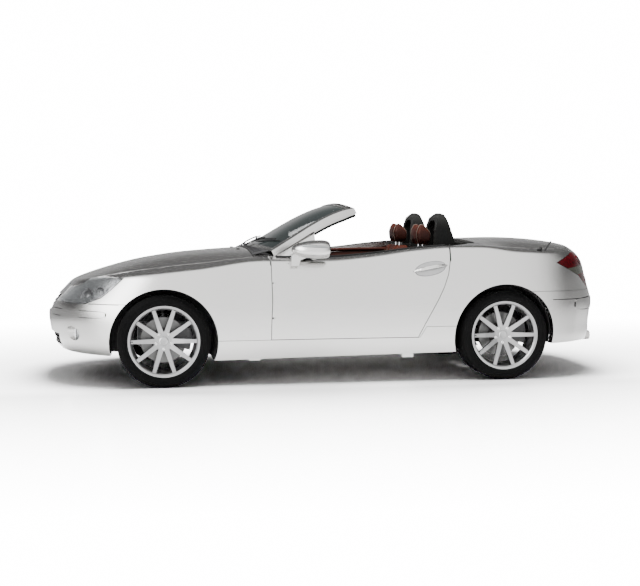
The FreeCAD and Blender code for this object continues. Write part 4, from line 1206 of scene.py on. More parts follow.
@dataclass
class DoorFittings:
    """What is on each door: handle, mirror glass and signal, belt seal and inside trim."""

    handle_front: Pair = (-0.528, 0.785)
    handle_rear: Pair = (-0.764, 0.824)
    dish_half: float = 0.047
    mirror_centre: Point = (0.0985, 0.905, 0.945)
    mirror_half: Pair = (0.074, 0.047)
    belt_y: float = 0.733
    belt_x: Pair = (0.44, -0.785)
    trim_y: float = 0.722
    sail_x: Pair = (0.43, 0.15)
    sail_top: Pair = (0.690, 0.620)

    def build(self, looks: Palette) -> None:
        """Make the left door's pieces and mirror each to the right."""
        outer = Skin("door_left")
        shell = Skin("mirror_left")
        doors = (Body.DOOR_LEFT, Body.DOOR_RIGHT)
        # the plate behind each handle takes the painted shade of a recess
        Bench.both(self._dish(outer), looks.recess_shade, doors)
        Bench.both(self._bar(outer), looks.paint, doors)
        Bench.both(self._rim(outer), looks.groove, doors)
        Bench.both(self._glass(), looks.mirror, doors)
        Bench.both(self._signal(shell), looks.lens, doors)
        Bench.both(self._signal_edge(shell), looks.groove, doors)
        Bench.both(self._gasket(outer), looks.rubber, doors)
        Bench.both(self._belt(outer), looks.rubber, doors)
        Bench.both(self._sail(outer), looks.paint, doors)
        Bench.both(self._insert(), looks.leather, doors)
        Bench.both(self._top_roll(), looks.leather, doors)
        Bench.both(self._pull(), looks.chrome, doors)
        Bench.both(self._grab(), looks.leather_dark, doors)
        Bench.both(self._speaker(), looks.plastic, doors)
        Bench.both(self._pocket(), looks.trim, doors)

    def _along(self, share: float, off: float) -> Point:
        """Start point beside the handle: share from -1 to 1 along it, off above its line."""
        t = (share + 1) / 2
        x = self.handle_front[0] + (self.handle_rear[0] - self.handle_front[0]) * t
        z = self.handle_front[1] + (self.handle_rear[1] - self.handle_front[1]) * t
        return (x, 1.2, z + off)

    def _dish(self, outer: Skin) -> Any:
        """Oval plate just proud of the door behind the handle: painted shade of a recess."""
        def shape(u: float, v: float) -> tuple[Point, Point]:
            a, b = pill(u, v, 2.3)
            return self._along(a * 0.93, b * self.dish_half - 0.002), FROM_LEFT
        return outer.patch("handle_recess_painted_shade", shape, 0.0012, (32, 12))

    def _rim(self, outer: Skin) -> Any:
        """Dark joint round the recess."""
        edge = oval(40, 0.94, self.dish_half * 1.02, (1.0, 0.85))
        starts = [self._along(share, off - 0.002) for share, off in edge]
        return Bench.tube("handle_joint", outer.line(starts, FROM_LEFT, 0.0), 0.0016, ring=True)

    def _bar(self, outer: Skin) -> Any:
        """Pull bar, bowed out from the door."""
        points = []
        for s in shares(11, -1.0, 1.0):
            place, normal = outer.hit(self._along(s * 0.99, 0.0), FROM_LEFT)
            points.append(place + normal * (0.002 + 0.030 * (1 - abs(s) ** 3.2)))
        grip = Bench.tube("handle", points, 0.0125, sides=4)
        for vertex in grip.data.vertices:
            s = (vertex.co.x - points[0].x) / (points[-1].x - points[0].x) * 2 - 1
            near = min(points, key=lambda p: abs(p.x - vertex.co.x))
            slim = 0.55 + 0.45 * (1 - abs(s) ** 3)
            vertex.co.z = near.z + (vertex.co.z - near.z) * slim
            vertex.co.y = near.y + (vertex.co.y - near.y) * 0.75
        return grip

    def _oval(self, share: float) -> list[Point]:
        """Outline of the mirror's glass, scaled by share."""
        x, y, z = self.mirror_centre
        wide, tall = self.mirror_half
        return [(x, y + u, z + v) for u, v in oval(32, wide * share, tall * share, (0.8, 0.85))]

    def _glass(self) -> Any:
        """Mirror glass."""
        return Bench.plate("mirror_glass", self._oval(1.0), (0.0012, 0, 0), 0.0004, 1)

    def _gasket(self, outer: Skin) -> Any:
        """Rubber foot of the mirror and the joint round its glass."""
        starts = [(0.345 - 0.15 * i / 5, 0.79 + 0.012 * math.sin(i), 1.2) for i in range(6)]
        foot = outer.line(starts, DOWN, 0.002)
        ring = Bench.tube("mirror_joint", self._oval(1.06), 0.003, ring=True)
        return Bench.joined("mirror_gasket", [ring, Bench.tube("mirror_foot", foot, 0.011, flat=0.5)])

    def _signal(self, shell: Skin) -> Any:
        """Turn signal let into the mirror's shell."""
        def shape(u: float, v: float) -> tuple[Point, Point]:
            a, b = pill(u, v, 5.0)
            return (0.205 - 0.088 * a, 1.3, 0.967 + 0.008 * b - 0.004 * a), FROM_LEFT
        return shell.patch("mirror_signal", shape, 0.0008, (24, 4))

    def _signal_edge(self, shell: Skin) -> Any:
        """Dark joint along the signal's upper edge."""
        starts = [(0.205 - 0.088 * s, 1.3, 0.9765 - 0.004 * s) for s in shares(17, -1.0, 1.0)]
        return Bench.tube("mirror_signal_joint", shell.line(starts, FROM_LEFT, -0.0014), 0.0020)

    def _belt(self, outer: Skin) -> Any:
        """Rubber along the door's inner top edge."""
        starts = [(x, self.belt_y, ABOVE) for x in shares(15, *self.belt_x)]
        return Bench.tube("belt_seal", outer.line(starts, DOWN, 0.002), 0.008)

    def _sail(self, outer: Skin) -> Any:
        """Painted corner panel between the mirror and the pillar."""
        frame = Skin("windscreen_frame")
        rows = []
        for x, y in zip(shares(12, *self.sail_x), shares(12, *self.sail_top)):
            foot, _ = outer.hit((x, self.belt_y, ABOVE), DOWN)
            under, _ = frame.hit((x, y, 0.85), -DOWN)
            rows.append((foot - Vector((0, 0, 0.004)), Vector((x, y, under.z - 0.006))))
        panel = Bench.strap("sail_panel", rows, 0.012)
        Bench.bevel(panel, 0.003, 2)
        return panel

    def _insert(self) -> Any:
        """Leather panel on the door's inner face."""
        outline = [(0.40, 0.36), (0.42, 0.60), (0.40, 0.79), (0.30, 0.838), (-0.40, 0.872), (-0.70, 0.872),
                   (-0.735, 0.80), (-0.66, 0.62), (-0.57, 0.44), (-0.53, 0.36)]
        corners = [(x, self.trim_y - 0.008, z) for x, z in outline]
        return Bench.plate("door_insert", corners, (0, 0.010, 0), 0.004, 2)

    def _top_roll(self) -> Any:
        """Soft roll above the leather panel."""
        points = [(0.40, 0.722, 0.845), (0.20, 0.718, 0.868), (-0.10, 0.718, 0.884), (-0.45, 0.718, 0.896),
                  (-0.74, 0.722, 0.893)]
        return Bench.tube("door_roll", points, 0.013, sides=4)

    def _pull(self) -> Any:
        """Inside door lever."""
        return Bench.tube("door_lever", [(0.255, 0.713, 0.742), (0.235, 0.700, 0.744), (0.17, 0.697, 0.748),
                                         (0.145, 0.706, 0.749)], 0.0065, sides=3)

    def _grab(self) -> Any:
        """Slanted grab handle over the armrest."""
        return Bench.tube("door_grab", [(-0.02, 0.712, 0.652), (-0.02, 0.688, 0.67), (0.05, 0.684, 0.715),
                                        (0.12, 0.688, 0.758), (0.13, 0.713, 0.772)], 0.011, sides=3)

    def _speaker(self) -> Any:
        """Loudspeaker ring and cover low in the door."""
        cone = [(0.075, 0.0), (0.075, 0.006), (0.068, 0.009), (0.062, 0.004), (0.05, 0.0035), (0, 0.006)]
        return Bench.turned("door_speaker", cone, (0.29, self.trim_y - 0.007, 0.47), (0, -1, 0), 36)

    def _pocket(self) -> Any:
        """Map pocket along the bottom."""
        outline = [(0.17, 0.375), (0.17, 0.47), (-0.42, 0.50), (-0.50, 0.43), (-0.47, 0.375)]
        corners = [(x, self.trim_y - 0.038, z) for x, z in outline]
        return Bench.plate("door_pocket", corners, (0, 0.034, 0), 0.010, 3)


@dataclass
class OuterTrim:
    """Strips, grilles, lamps and joints on the body and its lids."""

    strip_angles: Pair = (19.0, 62.0)
    strip_z: float = 0.501
    strip_half: float = 0.021
    rear_angles: Pair = (124.0, 168.0)
    rear_strip_z: float = 0.533
    rear_strip_half: float = 0.040
    wing_x: float = 1.2
    fog: Point = (1.833, 0.600, 0.363)
    bowls: tuple[tuple[float, float, float], ...] = ((0.520, 0.620, 0.060), (0.672, 0.664, 0.034))
    cowl_half: float = 0.655
    joint_z: float = 0.572
    joint_angles: Pair = (52.0, 68.0)
    reach: float = 1.6
    joint_radius: float = 0.0034
    # black plate inboard of each front wheel: a splash shield, and also a dark sheet standing in for the
    # shade seen through the wheel
    splash_and_shade_shield: tuple[Point, Point] = ((1.403, 0.294, 0.240), (1.742, 0.298, 0.425))

    def build(self, looks: Palette) -> None:
        """Make them all."""
        front, rear = Skin("front_bumper"), Skin("rear_bumper")
        span = (self.strip_z, self.strip_half)
        self._strip("front_strip", front, self.wing_x, self.strip_angles, span, looks)
        span = (self.rear_strip_z, self.rear_strip_half)
        self._strip("rear_strip", rear, -self.wing_x, self.rear_angles, span, looks)
        self._bumper_joint("front_joint", Skin("front_bumper", "front_wings"), self.wing_x,
                           self.joint_angles, looks)
        self._bumper_joint("rear_joint", Skin("rear_bumper", "quarter_panels"), -self.wing_x,
                           (180 - self.joint_angles[0], 180 - self.joint_angles[1]), looks)
        self._lamp_insides(looks)
        self._tail_insides(looks)
        self._brake_lamp(looks)
        self._scuttle(looks)
        self._deck(looks)
        self._flap(looks)
        self._antenna_foot(looks)
        self._washers(looks)
        # splash shield that also stands in for the shade seen through each front wheel
        Bench.both(Bench.block("splash_shield_and_painted_shade", *self.splash_and_shade_shield, 0.001), looks.plastic)

    def _strip(self, name: str, skin: Skin, pivot: float, angles: Pair, span: Pair,
               looks: Palette) -> None:
        """Rub strip round one corner, in a dark joint."""
        middle, half = (angles[0] + angles[1]) / 2, (angles[1] - angles[0]) / 2

        def ray(u: float, z: float) -> tuple[Point, Point]:
            a = math.radians(middle + half * u)
            c, s = math.cos(a), math.sin(a)
            return (pivot + self.reach * c, self.reach * s, z), (-c, -s, 0)

        def shape(u: float, v: float) -> tuple[Point, Point]:
            a, b = pill(u, v, 8.0)
            return ray(a, span[0] + span[1] * b)
        Bench.both(skin.patch(name, shape, 0.004, (40, 6), 0.001), looks.paint)
        places = []
        for u, v in oval(64, 1.012, 1.09, (0.35, 0.6)):
            place, normal = skin.hit(*ray(u, span[0] + span[1] * v))
            places.append(place + normal * 0.0005)
        Bench.both(Bench.tube(name + "_joint", places, self.joint_radius, ring=True), looks.groove)

    def _bumper_joint(self, name: str, skin: Skin, pivot: float, angles: Pair, looks: Palette) -> None:
        """Dark joint between a bumper and the panel above it."""
        places = []
        for degrees in shares(24, *angles):
            c, s = math.cos(math.radians(degrees)), math.sin(math.radians(degrees))
            pair = [skin.hit((pivot + self.reach * c, self.reach * s, self.joint_z + step), (-c, -s, 0))
                    for step in (-0.007, 0.007)]
            middle = (pair[0][0] + pair[1][0]) / 2
            places.append(middle - (pair[0][1] + pair[1][1]) * 0.0008)
        Bench.both(Bench.tube(name, places, self.joint_radius), looks.groove)

    def _lamp_insides(self, looks: Palette) -> None:
        """Reflector body, bowls and fog lamp rings behind the clear lenses."""
        lens = node("front_lamps")
        body = Bench.copied(lens, "lamp_body", Matrix.Identity(4))
        Bench.alone(body)
        bpy.ops.object.mode_set(mode="EDIT")
        bpy.ops.mesh.select_all(action="SELECT")
        bpy.ops.mesh.remove_doubles(threshold=1e-5)
        bpy.ops.object.mode_set(mode="OBJECT")
        normals = [v.normal.copy() for v in body.data.vertices]
        for vertex, normal in zip(body.data.vertices, normals):
            vertex.co = vertex.co - normal * 0.007
        Bench.finish(body, looks.reflector)
        skin = Skin("front_lamps")
        for i, (y, z, r) in enumerate(self.bowls):
            aim = Vector((-0.72, -0.69, -0.06)).normalized()
            place, normal = skin.hit(Vector((1.76, y + 0.13, z)) - aim * 0.9, aim)
            axis = (-aim * 0.8 + normal * 0.6).normalized()
            spot = place - normal * 0.006
            bowl = [(r, -0.004), (r, 0.002), (r * 0.9, 0.002), (r * 0.7, -0.012), (r * 0.45, -0.016),
                    (r * 0.42, -0.004),
                    (r * 0.25, 0.0), (0, 0.001)]
            piece = Bench.turned("lamp_bowl_%d" % i, bowl, spot, axis, 36)
            Bench.both(piece, looks.bowl)
        ring = [(0.049, -0.006), (0.049, 0.0015), (0.043, 0.003), (0.040, -0.001), (0.030, 0.004), (0, 0.007)]
        Bench.both(Bench.turned("fog_lamp", ring, self.fog, (1, 0, 0), 36), looks.chrome)

    def _tail_insides(self, looks: Palette) -> None:
        """Round lamp shapes on the tail lamps' rear faces."""
        skin = Skin("tail_lamps")
        for i, (y, z, r) in enumerate(((0.60, 0.70, 0.030), (0.63, 0.845, 0.040))):
            place, normal = skin.hit((-2.4, y, z), (1, 0, 0))
            bowl = [(r, -0.003), (r, 0.0015), (r * 0.86, 0.0025), (r * 0.8, 0.001), (r * 0.4, 0.003),
                    (0, 0.0035)]
            Bench.both(Bench.turned("tail_bowl_%d" % i, bowl, place, normal, 36), looks.red)

    def _brake_lamp(self, looks: Palette) -> None:
        """High brake lamp near the lid's rear edge."""
        def shape(u: float, v: float) -> tuple[Point, Point]:
            a, b = pill(u, v, 6.0)
            return (-1.905 - 0.010 * b, 0.15 * a, ABOVE), DOWN
        lamp = Skin("boot_lid").patch("high_brake_lamp", shape, 0.004, (28, 3), 0.0)
        Bench.finish(lamp, looks.red, Body.BOOT_LID)

    def _scuttle(self, looks: Palette) -> None:
        """Black louvred panel between bonnet and windscreen."""
        scuttle, frame = Skin("scuttle"), Skin("windscreen_frame")
        rows = []
        for y in shares(41, self.cowl_half, -self.cowl_half):
            front, _ = scuttle.hit((0.588, y, ABOVE), DOWN)
            back, _ = frame.hit((0.541 - 0.092 * (y / 0.706) ** 2, y, ABOVE), DOWN)
            rows.append((front + Vector((0.008, 0, 0.0015)), back - Vector((0, 0, 0.010))))
        panel = Bench.strap("scuttle_grille", rows, 0.004)
        bars = []
        for i in range(3, 38, 2):
            front, back = rows[i]
            ends = [back.lerp(front, share) + Vector((0, 0, 0.003)) for share in (0.35, 0.9)]
            bars.append(Bench.tube("louvre_%d" % i, ends, 0.0035, smooth=False))
        Bench.finish(Bench.joined("scuttle_grille", [panel] + bars), looks.plastic)

    def _deck(self, looks: Palette) -> None:
        """Dark cover between the hoops and the boot lid."""
        skin = Skin("quarter_panels")

        def shape(u: float, v: float) -> tuple[Point, Point]:
            return (-1.020 + 0.030 * v, 0.585 * u, ABOVE), DOWN
        strip = skin.patch("deck_strip", shape, 0.004, (40, 4), 0.0)
        Bench.finish(strip, looks.black)
        bar = Bench.block("deck_cover", (-0.983, -0.60, 0.914), (-0.944, 0.60, 0.982), 0.010, 4)
        Bench.finish(bar, looks.black)
        tray = Bench.block("shelf_lining", (-0.945, -0.69, 0.913), (-0.779, 0.69, 0.919), 0.002)
        Bench.finish(tray, looks.carpet)

    def _flap(self, looks: Palette) -> None:
        """Joint of the filler flap in the right rear quarter."""
        starts = [(-1.43 + u, -1.3, 0.79 + v) for u, v in oval(40, 0.085, 0.075, (0.5, 0.5))]
        line = Skin("quarter_panels").line(starts, (0, 1, 0), -0.0004)
        Bench.finish(Bench.tube("filler_joint", line, 0.0016, ring=True), looks.groove)

    def _antenna_foot(self, looks: Palette) -> None:
        """Rubber foot of the aerial."""
        place, normal = Skin("quarter_panels").hit((-1.49, 0.758, ABOVE), DOWN)
        foot = [(0.019, -0.002), (0.019, 0.004), (0.012, 0.012), (0.008, 0.026), (0, 0.028)]
        piece = Bench.turned("antenna_foot", foot, place, (-0.55, 0.0, 0.83), 24)
        Bench.finish(piece, looks.rubber)

    def _washers(self, looks: Palette) -> None:
        """Screen washer nozzles at the bonnet's rear edge."""
        skin = Skin("bonnet")
        for name, y in (("left", 0.26), ("right", -0.26)):
            place, _ = skin.hit((0.66, y, 1.4), DOWN)
            low = (place.x - 0.012, y - 0.009, place.z - 0.003)
            high = (place.x + 0.012, y + 0.009, place.z + 0.006)
            Bench.finish(Bench.block("washer_" + name, low, high, 0.003, 3), looks.plastic, Body.BONNET)


@dataclass
class WheelTrim:
    """Bolts, cap and valve of one wheel, copied to all four."""

    bolt_circle: float = 0.056
    bolts: int = 5
    first_angle: float = 18.0
    face: float = 0.062
    cap_radius: float = 0.0315
    valve_radius: float = 0.219

    def build(self, looks: Palette) -> None:
        """Make one set and copy it."""
        bolts = self._bolts()
        dome = [(self.cap_radius, self.face - 0.006), (self.cap_radius, self.face + 0.002),
                (0.026, self.face + 0.005), (0.024, self.face + 0.004), (0, self.face + 0.006)]
        cap = Bench.turned("wheel_cap", dome, (0, 0, 0), (0, 1, 0), 40)
        stem = [(self.valve_radius, 0.085, 0.0), (self.valve_radius - 0.006, 0.104, 0.0)]
        valve = Bench.tube("valve", stem, 0.004, smooth=False)
        for corner, axle in AXLES.items():
            move = Matrix.Translation(axle) @ (Matrix.Identity(4) if axle[1] > 0 else MIRROR)
            for piece, look in ((bolts, looks.steel), (cap, looks.alloy), (valve, looks.rubber)):
                Bench.finish(Bench.copied(piece, piece.name + "_" + corner, move), look,
                             Body("wheel_" + corner))
        for piece in (bolts, cap, valve):
            bpy.data.objects.remove(piece)

    def _bolts(self) -> Any:
        """Five bolt heads with their washers."""
        heads = []
        for i in range(self.bolts):
            a = math.radians(self.first_angle + 360 / self.bolts * i)
            place = (self.bolt_circle * math.cos(a), 0.0, -self.bolt_circle * math.sin(a))
            washer = [(0.0125, self.face - 0.012), (0.0125, self.face - 0.001), (0.0105, self.face + 0.001),
                      (0, self.face + 0.001)]
            head = [(0.0088, self.face), (0.0088, self.face + 0.008), (0.007, self.face + 0.0095),
                    (0.005, self.face + 0.0095), (0.0045, self.face + 0.006), (0, self.face + 0.006)]
            heads.append(Bench.turned("washer_%d" % i, washer, place, (0, 1, 0), 24))
            heads.append(Bench.turned("head_%d" % i, head, place, (0, 1, 0), 6))
        return Bench.joined("wheel_bolts", heads)


@dataclass
class Upholstery:
    """Padded covers of both seats, blown up as cloth, then seamed and piped."""

    seat_y: float = 0.36
    voxel: float = 0.009
    frames: int = 18
    pressure: float = 4.0
    swell: float = 0.009
    piping: float = 0.0032
    seam: float = 0.150

    def build(self, looks: Palette) -> None:
        """Make the left seat's pads and mirror them."""
        cushion = self._pad("cushion", self._cushion_place)
        self._seams(cushion, self._cushion_depth)
        back = self._pad("backrest", self._back_place)
        self._seams(back, self._back_depth)
        head = self._pad("headrest", self._head_place)
        self._seams(head, self._head_depth)
        cords = self._cords(cushion, back, head)
        for piece, nodes in ((cushion, "seat_cushions"), (back, "seat_backs"), (head, "headrests")):
            for pad in Bench.both(piece, looks.leather, angle=60.0):
                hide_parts(nodes)
        for cord in cords:
            Bench.both(cord, looks.piping, angle=60.0)
        self._posts(looks)

    @staticmethod
    def _ease(value: float, low: float, high: float) -> float:
        """Smooth rise from 0 at low to 1 at high."""
        t = Upholstery._between(value, low, high)
        return t * t * (3 - 2 * t)

    def _cushion_place(self, u: float, v: float, w: float) -> Point:
        """Seat cushion: u forward, v to the left, w up."""
        x = -0.27 + 0.274 * u
        half = 0.232 - 0.012 * self._ease(u, 0.5, 1.0)
        top = 0.414 - 0.016 * self._ease(0.35 - abs(u + 0.1), -0.3, 0.35) - 0.05 * self._ease(x, -0.03, 0.02)
        top += 0.013 * self._ease(abs(v), 0.55, 0.8)
        return (x, self.seat_y + half * v, 0.340 + (top - 0.340) * (w + 1) / 2)

    def _back_place(self, u: float, v: float, w: float) -> Point:
        """Backrest: u forward, v to the left, w up along its lean."""
        z = 0.445 + 0.500 * (w + 1) / 2
        front = -0.450 - 0.118 * self._between(z, 0.43, 0.64) - 0.082 * self._between(z, 0.64, 0.958)
        rear = -0.588 - 0.072 * self._between(z, 0.43, 0.56) - 0.095 * self._between(z, 0.56, 0.958)
        front -= 0.020 * (1 - self._ease(abs(v), 0.5, 0.82))
        half = 0.230 - 0.055 * self._ease(z, 0.78, 0.95)
        return ((front + rear) / 2 + (front - rear) / 2 * u, self.seat_y + half * v, z)

    def _head_place(self, u: float, v: float, w: float) -> Point:
        """Headrest: u forward, v to the left, w up."""
        z = 0.966 + 0.146 * (w + 1) / 2
        front = -0.662 + 0.010 * self._between(z, 0.966, 1.04) - 0.020 * self._between(z, 1.05, 1.11)
        rear = -0.744 - 0.012 * self._between(z, 0.966, 1.02) + 0.058 * self._ease(z, 1.03, 1.118)
        half = 0.112 - 0.020 * self._ease(z, 1.05, 1.12) - 0.012 * self._ease(-z, -1.0, -0.96)
        return ((front + rear) / 2 + (front - rear) / 2 * u, self.seat_y + half * v, z)

    @staticmethod
    def _between(value: float, low: float, high: float) -> float:
        """Share of the way from low to high."""
        return min(1.0, max(0.0, (value - low) / (high - low)))

    def _pad(self, name: str, place: Callable[[float, float, float], Point]) -> Any:
        """Closed pad: a divided cube put in place, rounded, remeshed and blown up."""
        Bench.clear()
        bpy.ops.mesh.primitive_cube_add(size=2.0)
        piece = Bench.named(name)
        Bench.edit(piece, Bench.everything, lambda: bpy.ops.mesh.subdivide(number_cuts=7))
        for vertex in piece.data.vertices:
            vertex.co = place(*vertex.co)
        Bench.modify(piece, "SUBSURF", levels=2, render_levels=2)
        Bench.modify(piece, "REMESH", mode="VOXEL", voxel_size=self.voxel)
        self._inflate(piece)
        Bench.modify(piece, "SUBSURF", levels=1, render_levels=1)
        return piece

    def _inflate(self, piece: Any) -> None:
        """Blow the pad up as cloth, held within swell of where it was."""
        made = piece.modifiers.new("cloth", "CLOTH")
        made.settings.use_pressure = True
        made.settings.uniform_pressure_force = self.pressure
        made.settings.quality = 5
        made.settings.effector_weights.gravity = 0.0
        scene = bpy.context.scene
        for frame in range(1, self.frames + 1):
            scene.frame_set(frame)
        shown = piece.evaluated_get(bpy.context.evaluated_depsgraph_get())
        moved = [vertex.co.copy() for vertex in shown.data.vertices]
        piece.modifiers.remove(made)
        for vertex, target in zip(piece.data.vertices, moved):
            step = target - vertex.co
            if step.length > self.swell:
                step = step.normalized() * self.swell
            vertex.co = vertex.co + step
        scene.frame_set(1)

    @staticmethod
    def _groove(far: float, depth: float, width: float = 0.006) -> float:
        """Depth of a sewn channel at a distance from its line."""
        return depth * math.exp(-(far / width) ** 2)

    def _cushion_depth(self, place: Vector, normal: Vector) -> float:
        """Channels of the cushion."""
        across = abs(place.y - self.seat_y)
        if normal.z < 0.2:
            return 0.0
        depth = self._groove(across - self.seam, 0.007)
        if across < self.seam:
            depth += sum(self._groove(place.x - x, 0.0055) for x in (-0.08, -0.18, -0.28, -0.38))
        return depth

    def _edge(self, z: float) -> float:
        """How far from the middle the backrest's long seams run at a height."""
        return self.seam - 0.035 * self._ease(z, 0.76, 0.95)

    def _back_depth(self, place: Vector, normal: Vector) -> float:
        """Channels of the backrest."""
        across = abs(place.y - self.seat_y)
        if normal.x < 0.2:
            return 0.0
        edge = self._edge(place.z)
        depth = self._groove(across - edge, 0.007)
        if across < edge:
            depth += sum(self._groove(place.z - z, 0.0055) for z in (0.53, 0.61, 0.69, 0.77, 0.85))
        return depth

    def _head_depth(self, place: Vector, normal: Vector) -> float:
        """Seams of the headrest."""
        across = abs(place.y - self.seat_y)
        return self._groove(across - 0.072, 0.0035, 0.005) if abs(normal.y) < 0.8 else 0.0

    @staticmethod
    def _seams(piece: Any, depth: Callable[[Vector, Vector], float]) -> None:
        """Press channels into a pad."""
        pressed = [v.co - v.normal * depth(v.co, v.normal) for v in piece.data.vertices]
        for vertex, target in zip(piece.data.vertices, pressed):
            vertex.co = target

    @staticmethod
    def _traced(piece: Any, lines: Sequence[tuple[Any, Any]], lift: float) -> list[Vector]:
        """Points on a pad where lines, each a start and an aim, meet it."""
        found = []
        for start, aim in lines:
            hit, place, normal, _ = piece.ray_cast(Vector(start), Vector(aim).normalized())
            if hit:
                found.append(place + normal * lift)
        return found

    def _cords(self, cushion: Any, back: Any, head: Any) -> list[Any]:
        """Piping round the headrest's sides, down the backrest and along the cushion."""
        made = []
        for name, offset in (("outer", 0.083), ("inner", -0.083)):
            lines = [((-0.703 + u, self.seat_y + offset, 1.038 + v), (-u, 0, -v)) for u,
                     v in oval(40, 0.4, 0.4)]
            path = self._traced(head, lines, 0.0005)
            made.append(Bench.tube("headrest_cord_" + name, path, self.piping, ring=True))
        for name, sign in (("outer", 1.0), ("inner", -1.0)):
            lines = [((0.2, self.seat_y + sign * self._edge(z), z), (-1, 0, 0)) for z in shares(22, 0.47,
                                                                                                0.93)]
            made.append(Bench.tube("backrest_cord_" + name, self._traced(back, lines, 0.001), self.piping))
            lines = [((x, self.seat_y + sign * self.seam, 0.8), DOWN) for x in shares(16, -0.43, -0.03)]
            made.append(Bench.tube("cushion_cord_" + name, self._traced(cushion, lines, 0.001), self.piping))
        return made

    def _posts(self, looks: Palette) -> None:
        """Headrest posts, belt catch and side cover of each seat."""
        posts = []
        for y in (-0.06, 0.06):
            posts.append(Bench.tube("post", [(-0.700, self.seat_y + y, 0.93),
                                             (-0.704, self.seat_y + y, 0.985)], 0.006,
                                    smooth=False, sides=3))
        Bench.both(Bench.joined("headrest_posts", posts), looks.chrome)
        catch = Bench.block("belt_catch", (-0.565, 0.098, 0.36), (-0.535, 0.108, 0.455), 0.004, 3)
        Bench.both(catch, looks.trim)
        outline = [(-0.60, 0.30), (-0.60, 0.375), (-0.53, 0.415), (-0.40, 0.385), (-0.05, 0.36),
                   (-0.02, 0.335),
                   (-0.05, 0.30)]
        cover = Bench.plate("seat_cover", [(x, self.seat_y + 0.252, z) for x, z in outline], (0, 0.012, 0),
                            0.004, 3)
        Bench.both(cover, looks.trim)


